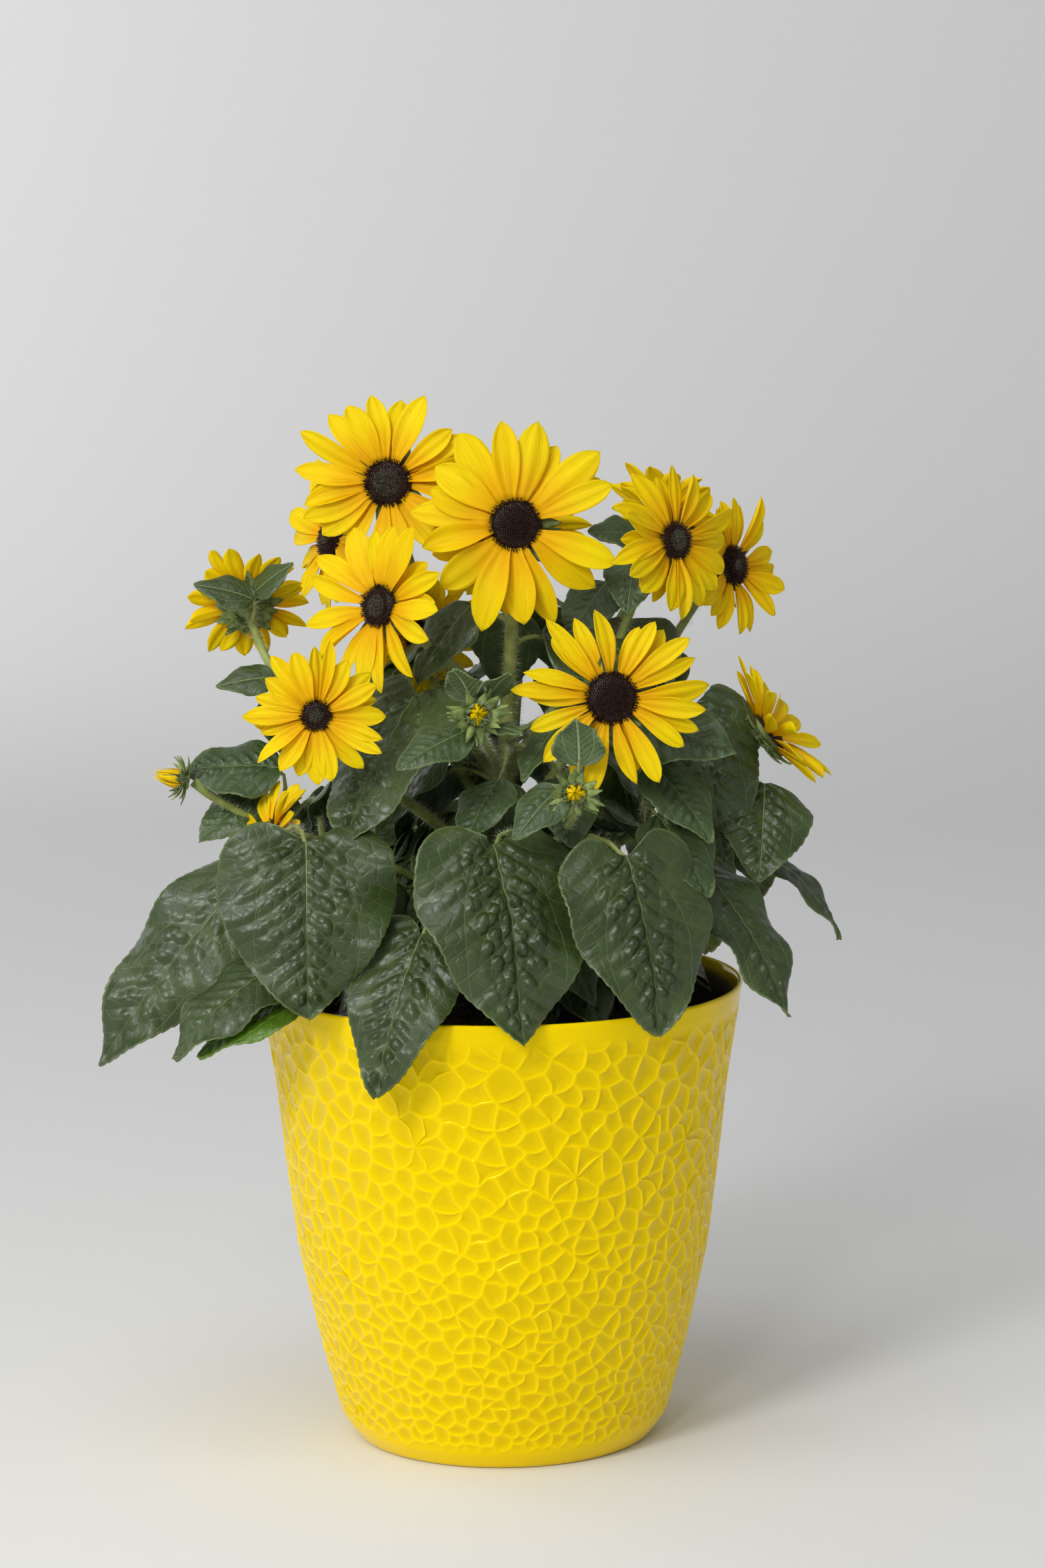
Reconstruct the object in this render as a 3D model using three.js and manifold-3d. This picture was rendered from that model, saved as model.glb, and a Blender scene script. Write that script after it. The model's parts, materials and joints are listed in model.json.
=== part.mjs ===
// Potted multi-flowered sunflower.
//
// Millimetres, +Z up. The origin is the centre of the pot's flat underside, and -Y is the plant's front.
// A bushy plant of about half a metre stands in a tapered plastic pot: one main stem, a side stem to each
// bloom, large drooping leaves over the rim and small leaves at the buds.
import * as THREE from 'three';
import { mergeVertices } from 'three/addons/utils/BufferGeometryUtils.js';
import Module from 'manifold-3d';

const wasm = await Module();
wasm.setup();

// ---------------------------------------------------------------------------------------------------
// Driving dimensions

const GAP = 0.3;                 // clearance between pieces that touch
const SOIL_GAP = 0.6;            // soil to pot wall, so that the flat facets of the two stay clear
const MERGE = 0.03;              // facets this shallow are closed up after a cut
const SMOOTH = 0.25;             // and this shallow where a petiole runs into its blade

const POT_HEIGHT = 228;
const POT_WALL = 2.6;
const POT_FLOOR = 3;
const POT_SEGMENTS = 32;
// Outer radius at each height: a rounded foot, a long swelling side and a slight flare at the rim.
const POT_SIDE = [[74.4, 0], [80.4, 7], [88, 33], [98, 74], [105.6, 115], [109.4, 156], [113, 185],
  [120, POT_HEIGHT]];
const INNER_LEVELS = [11, 90, 185];   // heights at which the inner wall bends, and the soil with it
const FLOOR_ROUND = 4;           // radius by which the inside narrows from the lowest of them to the floor

const SOIL_TOP = 200;            // soil surface, below the rim

const LEAF_THICKNESS = 1.2;
const PETIOLE_RADIUS = 1.7;
const COLLAR = 3;                // how far the swollen node of a leaf cluster stands out round its stem

const MAIN_FOOT_RADIUS = 7.5;    // main stem just above its flare
const MAIN_TIP_RADIUS = 3.2;
const MAIN_FLARE = 3;            // extra radius at the soil
const MAIN_FLARE_HEIGHT = 14;
const STEM_FOOT_RADIUS = 3.7;    // side stem where it leaves the main stem
const STEM_TIP_RADIUS = 2.7;
const BUD_STEM_RADIUS = 2.6;

const CALYX_DEPTH = 9;           // from the disc's face back to the top of the stem
const STEM_SEAT = 0.8;           // share of that depth at which the stem's end is met
const DISC_DOME = 2.5;
const PETAL_NOTCH = 0.62;        // share of a petal's length at which its neighbours part
const HINDER_REACH = 0.93;       // petals of the hinder row, to those of the front row
const CALYX_RING = [0.95, 0.7];  // widest ring of the calyx: share of the disc's radius, share of the depth
const BUD_HEAD = { petals: 9, cup: 30 };
const BUD_DISC = 0.5;            // a bud's disc, to its reach

// Course of a side stem, all as shares of the distance it spans: how far it first rises, how far it first
// leans outwards, how far behind the flower it turns, and how far that turn hangs below the flower.
const STEM_RISE = 0.34;
const STEM_LEAN = 0.22;
const STEM_TURN = 0.2;
const STEM_HANG = 0.16;

// The main stem's course, from the soil up to the back of the top bloom.
const MAIN_COURSE = [[0, 6, SOIL_TOP + GAP], [1, 8, 262], [3, 2, 330], [6, -14, 390], [9, -31, 438]];

// Blooms. at: middle of the disc's face. face: compass angle of its normal (270 is the front) and its
// height above level. reach: disc centre to petal tip. cup: how far the petals lean forward of flat.
// from: height on the main stem where its side stem starts. sweep: how far that stem bows outwards.
const BLOOMS = {
  top_left: { at: [-53, -8, 475], face: [262, 8], reach: 48, disc: 12, petals: 20, cup: 6,
    from: 330 },
  top_centre: { at: [9, -45, 457], face: [270, 8], reach: 53, disc: 13, petals: 16, cup: 0 },
  mid_left: { at: [-57, -50, 419], face: [230, 10], reach: 45, disc: 10.5, petals: 15, cup: 12,
    from: 352 },
  low_left: { at: [-85, -95, 372], face: [268, 8], reach: 35, disc: 7.5, petals: 20, cup: 4,
    from: 268, sweep: 0.1 },
  right_centre: { at: [54, -85, 378], face: [272, 8], reach: 48, disc: 13, petals: 19, cup: 4,
    from: 282, sweep: 0.1 },
  upper_right: { at: [87, -25, 447], face: [312, 8], reach: 40, disc: 9.5, petals: 17, cup: 4,
    from: 296, sweep: 0.1 },
  far_right: { at: [117, 17, 431], face: [318, 8], reach: 39, disc: 10, petals: 17, cup: 8,
    from: 288, sweep: 0.15 },
  top_right: { at: [84, 48, 454], face: [60, 38], reach: 34, disc: 10, petals: 16, cup: 14,
    from: 330, sweep: 0.1 },
  side_right: { at: [134, 0, 351], face: [356, 36], reach: 40, disc: 11, petals: 16, cup: 24,
    from: 254, sweep: 0.2 },
  outer_left: { at: [-124, 10, 415], face: [108, 22], reach: 34, disc: 9, petals: 17, cup: 4,
    from: 276, sweep: 0.2 },
  rear_left: { at: [-84, 40, 444], face: [212, 12], reach: 40, disc: 11, petals: 18, cup: 6,
    from: 300, sweep: 0.1 },
  under_left: { at: [-38, 22, 397], face: [292, -14], reach: 36, disc: 9, petals: 16, cup: 10,
    from: 318 },
  far_left: { at: [-113, -38, 307], face: [200, 34], reach: 32, disc: 8.5, petals: 16, cup: 8,
    from: 244, sweep: 0.1 },
  back_centre: { at: [10, 68, 444], face: [94, 22], reach: 42, disc: 12, petals: 18, cup: 4,
    from: 300, sweep: 0.1 },
  back_right: { at: [60, 92, 358], face: [68, 14], reach: 40, disc: 11, petals: 17, cup: 6,
    from: 262, sweep: 0.1 },
};

// Buds, each the tip of its own thin stem.
const BUDS = {
  front: { at: [-9, -95, 372], face: [270, 12], reach: 13, from: 312 },
  right: { at: [36, -110, 336], face: [268, 14], reach: 12, from: 246 },
  left: { at: [-156, -20, 332], face: [188, 12], reach: 9, from: 236 },
};

// Leaves. foot: where the petiole meets the blade. heading: compass angle of the tip. droop: how far the
// tip hangs below level. arch: how much the midrib bends along its length. roll: turn about the midrib.
const LEAVES = {
  front_left: { foot: [-91, -88, 311], heading: 272, droop: 78, length: 84, width: 86, arch: 32, roll: 0 },
  front_centre: { foot: [-3, -100, 311], heading: 294, droop: 70, length: 97, width: 86, arch: 34, roll: 0 },
  front_right: { foot: [60, -92, 304], heading: 304, droop: 73, length: 88, width: 76, arch: 30, roll: 6 },
  rim_left: { foot: [-36, -95, 268], heading: 236, droop: 62, length: 84, width: 54, arch: 44, roll: -14 },
  side_left: { foot: [-126, -38, 282], heading: 195, droop: 50, length: 112, width: 54, arch: 30, roll: -52 },
  low_left: { foot: [-110, -72, 247], heading: 204, droop: 38, length: 64, width: 42, arch: 30, roll: -22 },
  rim_outer: { foot: [-97, -76, 234], heading: 196, droop: 28, length: 56, width: 36, arch: 34, roll: -22 },
  mid_left: { foot: [-38, -42, 376], heading: 232, droop: 51, length: 88, width: 66, arch: 30, roll: 0 },
  right_tall: { foot: [96, -8, 366], heading: 301, droop: 72, length: 80, width: 56, arch: 24, roll: 20 },
  side_right: { foot: [130, -8, 326], heading: 262, droop: 52, length: 56, width: 50, arch: 30, roll: -14 },
  outer_right: { foot: [128, 16, 288], heading: 353, droop: 48, length: 62, width: 26, arch: 60, roll: 14 },
  low_right: { foot: [103, -42, 284], heading: 324, droop: 56, length: 77, width: 44, arch: 30, roll: 10 },
  back_left: { foot: [-70, 92, 302], heading: 122, droop: 62, length: 88, width: 80, arch: 34, roll: 0 },
  back_centre: { foot: [6, 104, 300], heading: 88, droop: 66, length: 94, width: 84, arch: 34, roll: 0 },
  back_right: { foot: [84, 84, 294], heading: 52, droop: 62, length: 86, width: 74, arch: 32, roll: 0 },
  left_rear: { foot: [-100, 56, 308], heading: 158, droop: 60, length: 72, width: 60, arch: 34, roll: 0 },
  right_rear_low: { foot: [104, 62, 312], heading: 36, droop: 58, length: 72, width: 56, arch: 32, roll: 0 },
};

// Small leaves that sit together on one stem and are one solid. on: the stem, with the share of its
// length where they leave it.
const CLUSTERS = {
  at_front_bud: { on: ['bud_front', 0.92], leaves: {
    left: { foot: [-14, -86, 364], heading: 213, droop: 22, length: 43, width: 27, arch: 24, roll: -34 },
    top_left: { foot: [-12, -82, 377], heading: 238, droop: -44, length: 24, width: 22, arch: 40, roll: 10 },
    top_right: { foot: [-5, -82, 377], heading: 312, droop: -40, length: 23, width: 20, arch: 40, roll: -10 },
    right: { foot: [-1, -88, 366], heading: 311, droop: 6, length: 20, width: 10, arch: 20, roll: 30 },
  } },
  at_right_bud: { on: ['bud_right', 0.9], leaves: {
    top: { foot: [38, -98, 348], heading: 264, droop: -66, length: 26, width: 26, arch: 30, roll: 0 },
    left: { foot: [29, -101, 338], heading: 219, droop: 38, length: 36, width: 25, arch: 24, roll: -26 },
  } },
  at_left_bud: { on: ['bud_left', 0.72], leaves: {
    upper: { foot: [-106, -12, 342], heading: 176, droop: 2, length: 52, width: 42, arch: 26, roll: -34 },
    lower: { foot: [-116, -4, 331], heading: 206, droop: 34, length: 42, width: 30, arch: 24, roll: -40 },
  } },
  upper_right: { on: ['stem_upper_right', 0.8], leaves: {
    high: { foot: [74, 0, 446], heading: 206, droop: -8, length: 34, width: 28, arch: 30, roll: -40 },
    middle: { foot: [68, -12, 440], heading: 256, droop: 50, length: 36, width: 30, arch: 30, roll: 0 },
    low: { foot: [54, 8, 424], heading: 222, droop: 44, length: 38, width: 32, arch: 30, roll: -20 },
  } },
  right_front: { on: ['stem_side_right', 0.5], leaves: {
    pointing: { foot: [62, -40, 362], heading: 338, droop: 14, length: 58, width: 46, arch: 24, roll: 40 },
    folded: { foot: [74, -44, 342], heading: 318, droop: 44, length: 52, width: 36, arch: 24, roll: 16 },
    under: { foot: [76, -56, 318], heading: 314, droop: 48, length: 50, width: 44, arch: 24, roll: 6 },
  } },
  centre: { on: ['main_stem', 0.55], leaves: {
    left: { foot: [0, -58, 336], heading: 236, droop: 44, length: 40, width: 32, arch: 26, roll: 0 },
    folded: { foot: [28, -62, 362], heading: 232, droop: 42, length: 36, width: 28, arch: 26, roll: 10 },
    right: { foot: [30, -56, 336], heading: 280, droop: 46, length: 42, width: 34, arch: 26, roll: 0 },
  } },
};

// Leafy masses deep in the crown, low round the stems: middle, half sizes and a seed for their bumps.
const MASSES = {
  inner_front: { middle: [0, -42, 262], half: [72, 34, 42], seed: 1 },
  inner_back: { middle: [4, 50, 276], half: [78, 40, 54], seed: 4 },
};

// ---------------------------------------------------------------------------------------------------
// Small helpers

const UP = new THREE.Vector3(0, 0, 1);
const rad = THREE.MathUtils.degToRad;
const vec = (p) => new THREE.Vector3(...p);

function material(color, roughness) {
  return new THREE.MeshStandardMaterial({ color, roughness, metalness: 0 });
}

const FINISH = {
  pot: material('#f4d000', 0.3),
  soil: material('#33261c', 0.95),
  stem: material('#7d9a4e', 0.65),
  petal: material('#ffd400', 0.5),
  leaf: material('#36502e', 0.45),
};

// Unit vector at a compass angle in plan and a height above level, both in degrees.
function bearing(azimuth, elevation) {
  const a = rad(azimuth);
  const e = rad(elevation);
  return new THREE.Vector3(Math.cos(a) * Math.cos(e), Math.sin(a) * Math.cos(e), Math.sin(e));
}

function indexed(points, faces) {
  const geometry = new THREE.BufferGeometry().setFromPoints(points);
  geometry.setIndex(faces.flat());
  return geometry;
}

function solidOf(geometry) {
  const bare = geometry.clone();
  bare.deleteAttribute('normal');
  bare.deleteAttribute('uv');
  const merged = mergeVertices(bare, 1e-4);
  return new wasm.Manifold(new wasm.Mesh({
    numProp: 3,
    vertProperties: new Float32Array(merged.attributes.position.array),
    triVerts: new Uint32Array(merged.index.array),
  }));
}

function geometryOf(solid) {
  const mesh = solid.getMesh();
  const geometry = new THREE.BufferGeometry();
  geometry.setAttribute('position', new THREE.BufferAttribute(new Float32Array(mesh.vertProperties), 3));
  geometry.setIndex(new THREE.BufferAttribute(new Uint32Array(mesh.triVerts), 1));
  return geometry;
}

// The same shape with every corner moved out along its normal, far enough that each face moves by d.
function grown(geometry, d) {
  const bare = geometry.clone();
  bare.deleteAttribute('normal');
  bare.deleteAttribute('uv');
  const shape = mergeVertices(bare, 1e-4);
  const index = shape.index.array;
  const position = shape.attributes.position;
  const normals = Array.from({ length: position.count }, () => new THREE.Vector3());
  const faces = [];
  for (let i = 0; i < index.length; i += 3) {
    const [a, b, c] = [0, 1, 2].map((k) => new THREE.Vector3().fromBufferAttribute(position, index[i + k]));
    const face = b.clone().sub(a).cross(c.clone().sub(a));
    faces.push(face.clone().normalize());
    [0, 1, 2].forEach((k) => normals[index[i + k]].add(face));
  }
  normals.forEach((n) => n.normalize());
  const slack = new Float32Array(position.count).fill(1);
  faces.forEach((face, f) => [0, 1, 2].forEach((k) => {
    const v = index[3 * f + k];
    slack[v] = Math.min(slack[v], Math.max(0.35, normals[v].dot(face)));
  }));
  normals.forEach((n, v) => {
    const moved = new THREE.Vector3().fromBufferAttribute(position, v).addScaledVector(n, d / slack[v]);
    position.setXYZ(v, moved.x, moved.y, moved.z);
  });
  return shape;
}

function largest(solid) {
  return solid.decompose().reduce((best, piece) => (piece.volume() > best.volume() ? piece : best));
}

// A round limb along a curve, its radius given at each share of its length.
function limb(curve, radiusAt, sides, steps) {
  const frames = curve.computeFrenetFrames(steps, false);
  const points = [];
  const faces = [];
  for (let i = 0; i <= steps; i += 1) {
    const centre = curve.getPointAt(i / steps);
    for (let j = 0; j < sides; j += 1) {
      const a = (j / sides) * 2 * Math.PI;
      points.push(centre.clone()
        .addScaledVector(frames.normals[i], Math.cos(a) * radiusAt(i / steps))
        .addScaledVector(frames.binormals[i], Math.sin(a) * radiusAt(i / steps)));
      if (i < steps) {
        const next = (j + 1) % sides;
        const [p, q, r, s] = [i * sides + j, i * sides + next, (i + 1) * sides + next, (i + 1) * sides + j];
        faces.push([p, q, r], [p, r, s]);
      }
    }
  }
  const foot = points.push(curve.getPointAt(0)) - 1;
  const tip = points.push(curve.getPointAt(1)) - 1;
  for (let j = 0; j < sides; j += 1) {
    const next = (j + 1) % sides;
    faces.push([foot, next, j], [tip, steps * sides + j, steps * sides + next]);
  }
  return indexed(points, faces);
}

// ---------------------------------------------------------------------------------------------------
// The plant is put together in order: each new solid is cut back from those already there, so that a
// stem ends just short of the calyx it carries and a petiole just short of its stem.

const group = new THREE.Group();
const placed = [];

function boxesMeet(a, b) {
  return [0, 1, 2].every((k) => a.min[k] <= b.max[k] && b.min[k] <= a.max[k]);
}

function add(name, finish, geometry, room = solidOf(grown(geometry, GAP))) {
  let solid = solidOf(geometry);
  const box = solid.boundingBox();
  placed.filter((other) => boxesMeet(other.boundingBox(), box)).forEach((other) => {
    solid = solid.subtract(other);
  });
  solid = largest(solid.simplify(MERGE));
  placed.push(room);
  const mesh = new THREE.Mesh(geometryOf(solid), finish);
  mesh.name = name;
  group.add(mesh);
}

// ---------------------------------------------------------------------------------------------------
// Pot and soil

const potSide = new THREE.SplineCurve(POT_SIDE.map(([r, z]) => new THREE.Vector2(r, z)));
const potOutline = potSide.getPoints(6);

// Outer radius of the pot at a height.
function potRadius(z) {
  const above = potOutline.findIndex((p) => p.y >= z);
  const [low, high] = [potOutline[Math.max(above - 1, 0)], potOutline[above]];
  const share = high.y > low.y ? (z - low.y) / (high.y - low.y) : 0;
  return low.x + (high.x - low.x) * share;
}

function turned(outline) {
  const closed = outline.map(([r, z]) => new THREE.Vector2(r, z));
  return new THREE.LatheGeometry(closed, POT_SEGMENTS).rotateX(Math.PI / 2);
}

function pot() {
  const inner = [...INNER_LEVELS, POT_HEIGHT].reverse().map((z) => [potRadius(z) - POT_WALL, z]);
  const floorEdge = potRadius(POT_FLOOR) - POT_WALL - FLOOR_ROUND;
  return turned([[0, 0], ...potOutline.map((p) => [p.x, p.y]), ...inner,
    [floorEdge, POT_FLOOR], [0, POT_FLOOR]]);
}

function soil() {
  const side = [...INNER_LEVELS, SOIL_TOP].map((z) => [potRadius(z) - POT_WALL - SOIL_GAP, z]);
  const floorEdge = potRadius(POT_FLOOR) - POT_WALL - FLOOR_ROUND - SOIL_GAP;
  return turned([[0, POT_FLOOR + GAP], [floorEdge, POT_FLOOR + GAP], ...side, [0, SOIL_TOP]]);
}

// ---------------------------------------------------------------------------------------------------
// Blooms and buds

// Turns a shape modelled on +Z so that +Z points along the bearing, with its +Y kept uppermost.
function aimed(geometry, at, [azimuth, elevation]) {
  const normal = bearing(azimuth, elevation);
  const side = UP.clone().cross(normal).normalize();
  const top = normal.clone().cross(side);
  return geometry.applyMatrix4(new THREE.Matrix4().makeBasis(side, top, normal).setPosition(...at));
}

// A flower head: a domed disc, a ring of pointed petals drawn as a star, and the calyx behind. With
// spare it is the room that the head needs: the same shape, that much larger all round.
function flowerHead({ reach, disc, petals, cup }, spare = 0) {
  const columns = 2 * petals;
  const lean = Math.tan(rad(cup));
  const points = [new THREE.Vector3(0, 0, DISC_DOME + spare), new THREE.Vector3(0, 0, -CALYX_DEPTH - spare)];
  const ring = (radiusOf, heightOf, shift) => {
    const start = points.length;
    for (let i = 0; i < columns; i += 1) {
      const a = (i / columns) * 2 * Math.PI;
      const r = radiusOf(i);
      const wide = r + spare;
      points.push(new THREE.Vector3(Math.cos(a) * wide, Math.sin(a) * wide, heightOf(r) + shift));
    }
    return start;
  };
  const isTip = (i) => i % 2 === 0;
  // Every third petal belongs to the hinder row and is a little shorter.
  const tipReach = (i) => reach * (i % 3 === 1 ? HINDER_REACH : 1);
  const edgeReach = (i) => (isTip(i) ? tipReach(i) : disc + (reach - disc) * PETAL_NOTCH) + spare;
  const edgeHeight = (r) => (r - disc) * lean;
  const rim = ring(() => disc, () => 0, spare);
  const edge = ring(edgeReach, edgeHeight, spare);
  const under = spare > 0 ? ring(edgeReach, edgeHeight, -spare) : edge;
  const calyx = ring(() => disc * CALYX_RING[0], () => -CALYX_DEPTH * CALYX_RING[1], -spare);
  const faces = [];
  for (let i = 0; i < columns; i += 1) {
    const n = (i + 1) % columns;
    faces.push([0, rim + i, rim + n]);
    faces.push([rim + i, edge + i, edge + n], [rim + i, edge + n, rim + n]);
    if (spare > 0) faces.push([edge + i, under + i, under + n], [edge + i, under + n, edge + n]);
    faces.push([under + i, calyx + i, calyx + n], [under + i, calyx + n, under + n]);
    faces.push([calyx + i, 1, calyx + n]);
  }
  return indexed(points, faces);
}

// The point on a flower's axis at which its stem ends.
function stemEnd({ at, face }) {
  return vec(at).addScaledVector(bearing(...face), -CALYX_DEPTH * STEM_SEAT);
}

// A side stem leaves the main stem upwards, bows out and comes into its flower from behind.
function stemCurve(start, flower) {
  const end = stemEnd(flower);
  const span = end.distanceTo(start);
  const outward = end.clone().sub(start).setZ(0).normalize();
  const first = start.clone()
    .addScaledVector(UP, span * STEM_RISE)
    .addScaledVector(outward, span * (STEM_LEAN + (flower.sweep ?? 0)));
  const last = end.clone().addScaledVector(bearing(...flower.face), -span * STEM_TURN);
  last.z -= span * STEM_HANG;
  return new THREE.CubicBezierCurve3(start, first, last, end);
}

const mainCurve = new THREE.CatmullRomCurve3([...MAIN_COURSE.map(vec), stemEnd(BLOOMS.top_centre)]);

function mainPoint(height) {
  const course = mainCurve.getSpacedPoints(60);
  return course.find((p) => p.z >= height);
}

function mainRadius(share) {
  const height = share * mainCurve.getLength();
  const flare = MAIN_FLARE * Math.max(0, 1 - height / MAIN_FLARE_HEIGHT) ** 2;
  return MAIN_FOOT_RADIUS + (MAIN_TIP_RADIUS - MAIN_FOOT_RADIUS) * share + flare;
}

// ---------------------------------------------------------------------------------------------------
// Leaves

// Half outline of a heart-shaped blade: share along the midrib and share of the full width to one side,
// with the point of the midrib that each one is joined to.
const HALF_OUTLINE = [
  [-0.02, 0.05, 0], [-0.12, 0.26, 0.05], [0.02, 0.47, 0.12], [0.3, 0.49, 0.3], [0.66, 0.32, 0.64],
  [1, 0.01, 0.99],
];
// The same for a small leaf, which has no lobes behind its foot.
const SMALL_OUTLINE = [[0, 0.1, 0], [0.24, 0.5, 0.22], [0.64, 0.38, 0.62], [1, 0.01, 0.99]];
const SMALL_LEAF = 60;           // a leaf shorter than this has the small outline
const BLADE_FOLD = 0.16;         // the halves rise from the midrib at this slope
const BLADE_CURL = 0.5;          // and their margins turn down again

// Course of a petiole, as shares of the distance it spans: how far its first bend lies out from the stem
// and how much it is raised, and how far before the blade it turns. The last one is a share of the midrib.
const PETIOLE_LEAD = 0.35;
const PETIOLE_RISE = 0.12;
const PETIOLE_TURN = 0.3;
const PETIOLE_ENTRY = 0.06;

// The blade's own axes at its foot: along the chord to the tip, sideways, and out of the upper face.
function bladeAxes({ heading, droop, roll }) {
  const along = bearing(heading, -droop);
  const level = new THREE.Vector3(Math.sin(rad(heading)), -Math.cos(rad(heading)), 0);
  const side = level.applyAxisAngle(along, rad(roll));
  return { along, side, out: side.clone().cross(along) };
}

// A point of the blade: share along the midrib, and distance to the side in millimetres.
function bladePoint(leaf, axes, share, offset) {
  const bend = rad(leaf.arch);
  const turn = bend / 2 - bend * share;
  const reach = (leaf.length / bend) * (Math.sin(bend / 2) - Math.sin(turn));
  const rise = (leaf.length / bend) * (Math.cos(turn) - Math.cos(bend / 2));
  const lift = Math.abs(offset) * BLADE_FOLD - (BLADE_CURL * offset * offset) / leaf.width;
  return vec(leaf.foot)
    .addScaledVector(axes.along, reach - Math.sin(turn) * lift)
    .addScaledVector(axes.out, rise + Math.cos(turn) * lift)
    .addScaledVector(axes.side, offset);
}

// A closed slab of even thickness round an open grid of points.
function slab(rows, thickness) {
  const columns = rows[0].length;
  const at = (i, j) => rows[Math.min(Math.max(i, 0), rows.length - 1)][Math.min(Math.max(j, 0), columns - 1)];
  const points = [];
  [1, -1].forEach((sign) => rows.forEach((row, i) => row.forEach((p, j) => {
    const down = at(i + 1, j).clone().sub(at(i - 1, j));
    const across = at(i, j + 1).clone().sub(at(i, j - 1));
    points.push(p.clone().addScaledVector(down.cross(across).normalize(), -sign * thickness / 2));
  })));
  const half = rows.length * columns;
  const faces = [];
  const quad = (a, b, c, d) => faces.push([a, b, c], [a, c, d]);
  for (let i = 0; i + 1 < rows.length; i += 1) {
    for (let j = 0; j + 1 < columns; j += 1) {
      const a = i * columns + j;
      const [b, c, d] = [a + 1, a + columns + 1, a + columns];
      quad(a, b, c, d);
      quad(half + a, half + d, half + c, half + b);
    }
    const [left, right] = [i * columns, i * columns + columns - 1];
    quad(left, left + columns, half + left + columns, half + left);
    quad(right, half + right, half + right + columns, right + columns);
  }
  for (let j = 0; j + 1 < columns; j += 1) {
    const last = (rows.length - 1) * columns + j;
    quad(j + 1, j, half + j, half + j + 1);
    quad(last, last + 1, half + last + 1, half + last);
  }
  return indexed(points, faces);
}

function blade(leaf) {
  const axes = bladeAxes(leaf);
  const outline = leaf.length < SMALL_LEAF ? SMALL_OUTLINE : HALF_OUTLINE;
  const rows = outline.map(([share, wide, rib]) => [-1, 0, 1].map((s) => (
    bladePoint(leaf, axes, s === 0 ? rib : share, s * wide * leaf.width))));
  return slab(rows, LEAF_THICKNESS);
}

// A petiole rises from the stem and bends over into the blade's midrib.
function petiole(leaf, root) {
  const foot = vec(leaf.foot);
  const span = foot.distanceTo(root);
  const entry = bladePoint(leaf, bladeAxes(leaf), PETIOLE_ENTRY, 0);
  const into = entry.clone().sub(foot).normalize();
  const first = root.clone().lerp(foot, PETIOLE_LEAD).addScaledVector(UP, span * PETIOLE_RISE);
  const last = foot.clone().addScaledVector(into, -span * PETIOLE_TURN);
  const curve = new THREE.CubicBezierCurve3(root, first, last, entry);
  return limb(curve, () => PETIOLE_RADIUS, 3, leaf.length < SMALL_LEAF ? 3 : 4);
}

const stemCourses = [];

// The nearest place on any stem that a petiole could come from: lower than the blade's foot by choice.
const ROOT_DROP = 8;             // a petiole likes to start this far below the blade's foot
const ROOT_COST = 1.5;           // and each millimetre above that counts as this many of distance
function nearestStem(foot) {
  const cost = (p) => p.distanceTo(foot) + Math.max(0, p.z - foot.z + ROOT_DROP) * ROOT_COST;
  const places = stemCourses.flatMap(({ curve }) => curve.getSpacedPoints(30));
  return places.reduce((best, p) => (cost(p) < cost(best) ? p : best));
}

function leafSolid(leaf, root) {
  return solidOf(blade(leaf)).add(solidOf(petiole(leaf, root))).simplify(SMOOTH);
}

// ---------------------------------------------------------------------------------------------------
// Leafy masses

const MASS_BUMP = 0.16;          // height of the bumps, to the mass's half size

function leafyMass({ middle, half, seed }) {
  const ball = new THREE.IcosahedronGeometry(1, 2);
  ball.deleteAttribute('normal');
  ball.deleteAttribute('uv');
  const merged = mergeVertices(ball, 1e-4);
  const position = merged.attributes.position;
  for (let i = 0; i < position.count; i += 1) {
    const p = new THREE.Vector3().fromBufferAttribute(position, i);
    const bumps = Math.sin(5 * p.x + seed) * Math.sin(4 * p.y + 2 * seed) * Math.cos(5 * p.z + 3 * seed);
    p.multiplyScalar(1 + MASS_BUMP * bumps).multiply(vec(half)).add(vec(middle));
    position.setXYZ(i, p.x, p.y, Math.max(p.z, SOIL_TOP + 1));
  }
  return merged;
}

// ---------------------------------------------------------------------------------------------------
// Assembly

add('pot', FINISH.pot, pot());
add('soil', FINISH.soil, soil());

Object.entries(BLOOMS).forEach(([name, bloom]) => {
  const room = solidOf(aimed(flowerHead(bloom, GAP), bloom.at, bloom.face));
  add(`bloom_${name}`, FINISH.petal, aimed(flowerHead(bloom), bloom.at, bloom.face), room);
});

add('main_stem', FINISH.stem, limb(mainCurve, mainRadius, 6, 9));
stemCourses.push({ name: 'main_stem', curve: mainCurve, radiusAt: mainRadius });

const stemRadius = (share) => STEM_FOOT_RADIUS + (STEM_TIP_RADIUS - STEM_FOOT_RADIUS) * share;

Object.entries(BLOOMS).filter(([, bloom]) => bloom.from).forEach(([name, bloom]) => {
  const curve = stemCurve(mainPoint(bloom.from), bloom);
  add(`stem_${name}`, FINISH.stem, limb(curve, stemRadius, 5, 5));
  stemCourses.push({ name: `stem_${name}`, curve, radiusAt: stemRadius });
});

// A bud's limb: the thin stem and, at its tip, a cup of green bracts round the closed yellow head.
Object.entries(BUDS).forEach(([name, bud]) => {
  const curve = stemCurve(mainPoint(bud.from), bud);
  const [budSolid, room] = [0, GAP].map((spare) => {
    const head = flowerHead({ reach: bud.reach, disc: bud.reach * BUD_DISC, ...BUD_HEAD }, spare);
    const stem = limb(curve, () => BUD_STEM_RADIUS + spare, 5, 6);
    return solidOf(stem).add(solidOf(aimed(head, bud.at, bud.face)));
  });
  add(`bud_${name}`, FINISH.stem, geometryOf(budSolid), room);
  stemCourses.push({ name: `bud_${name}`, curve, radiusAt: () => BUD_STEM_RADIUS });
});

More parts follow.
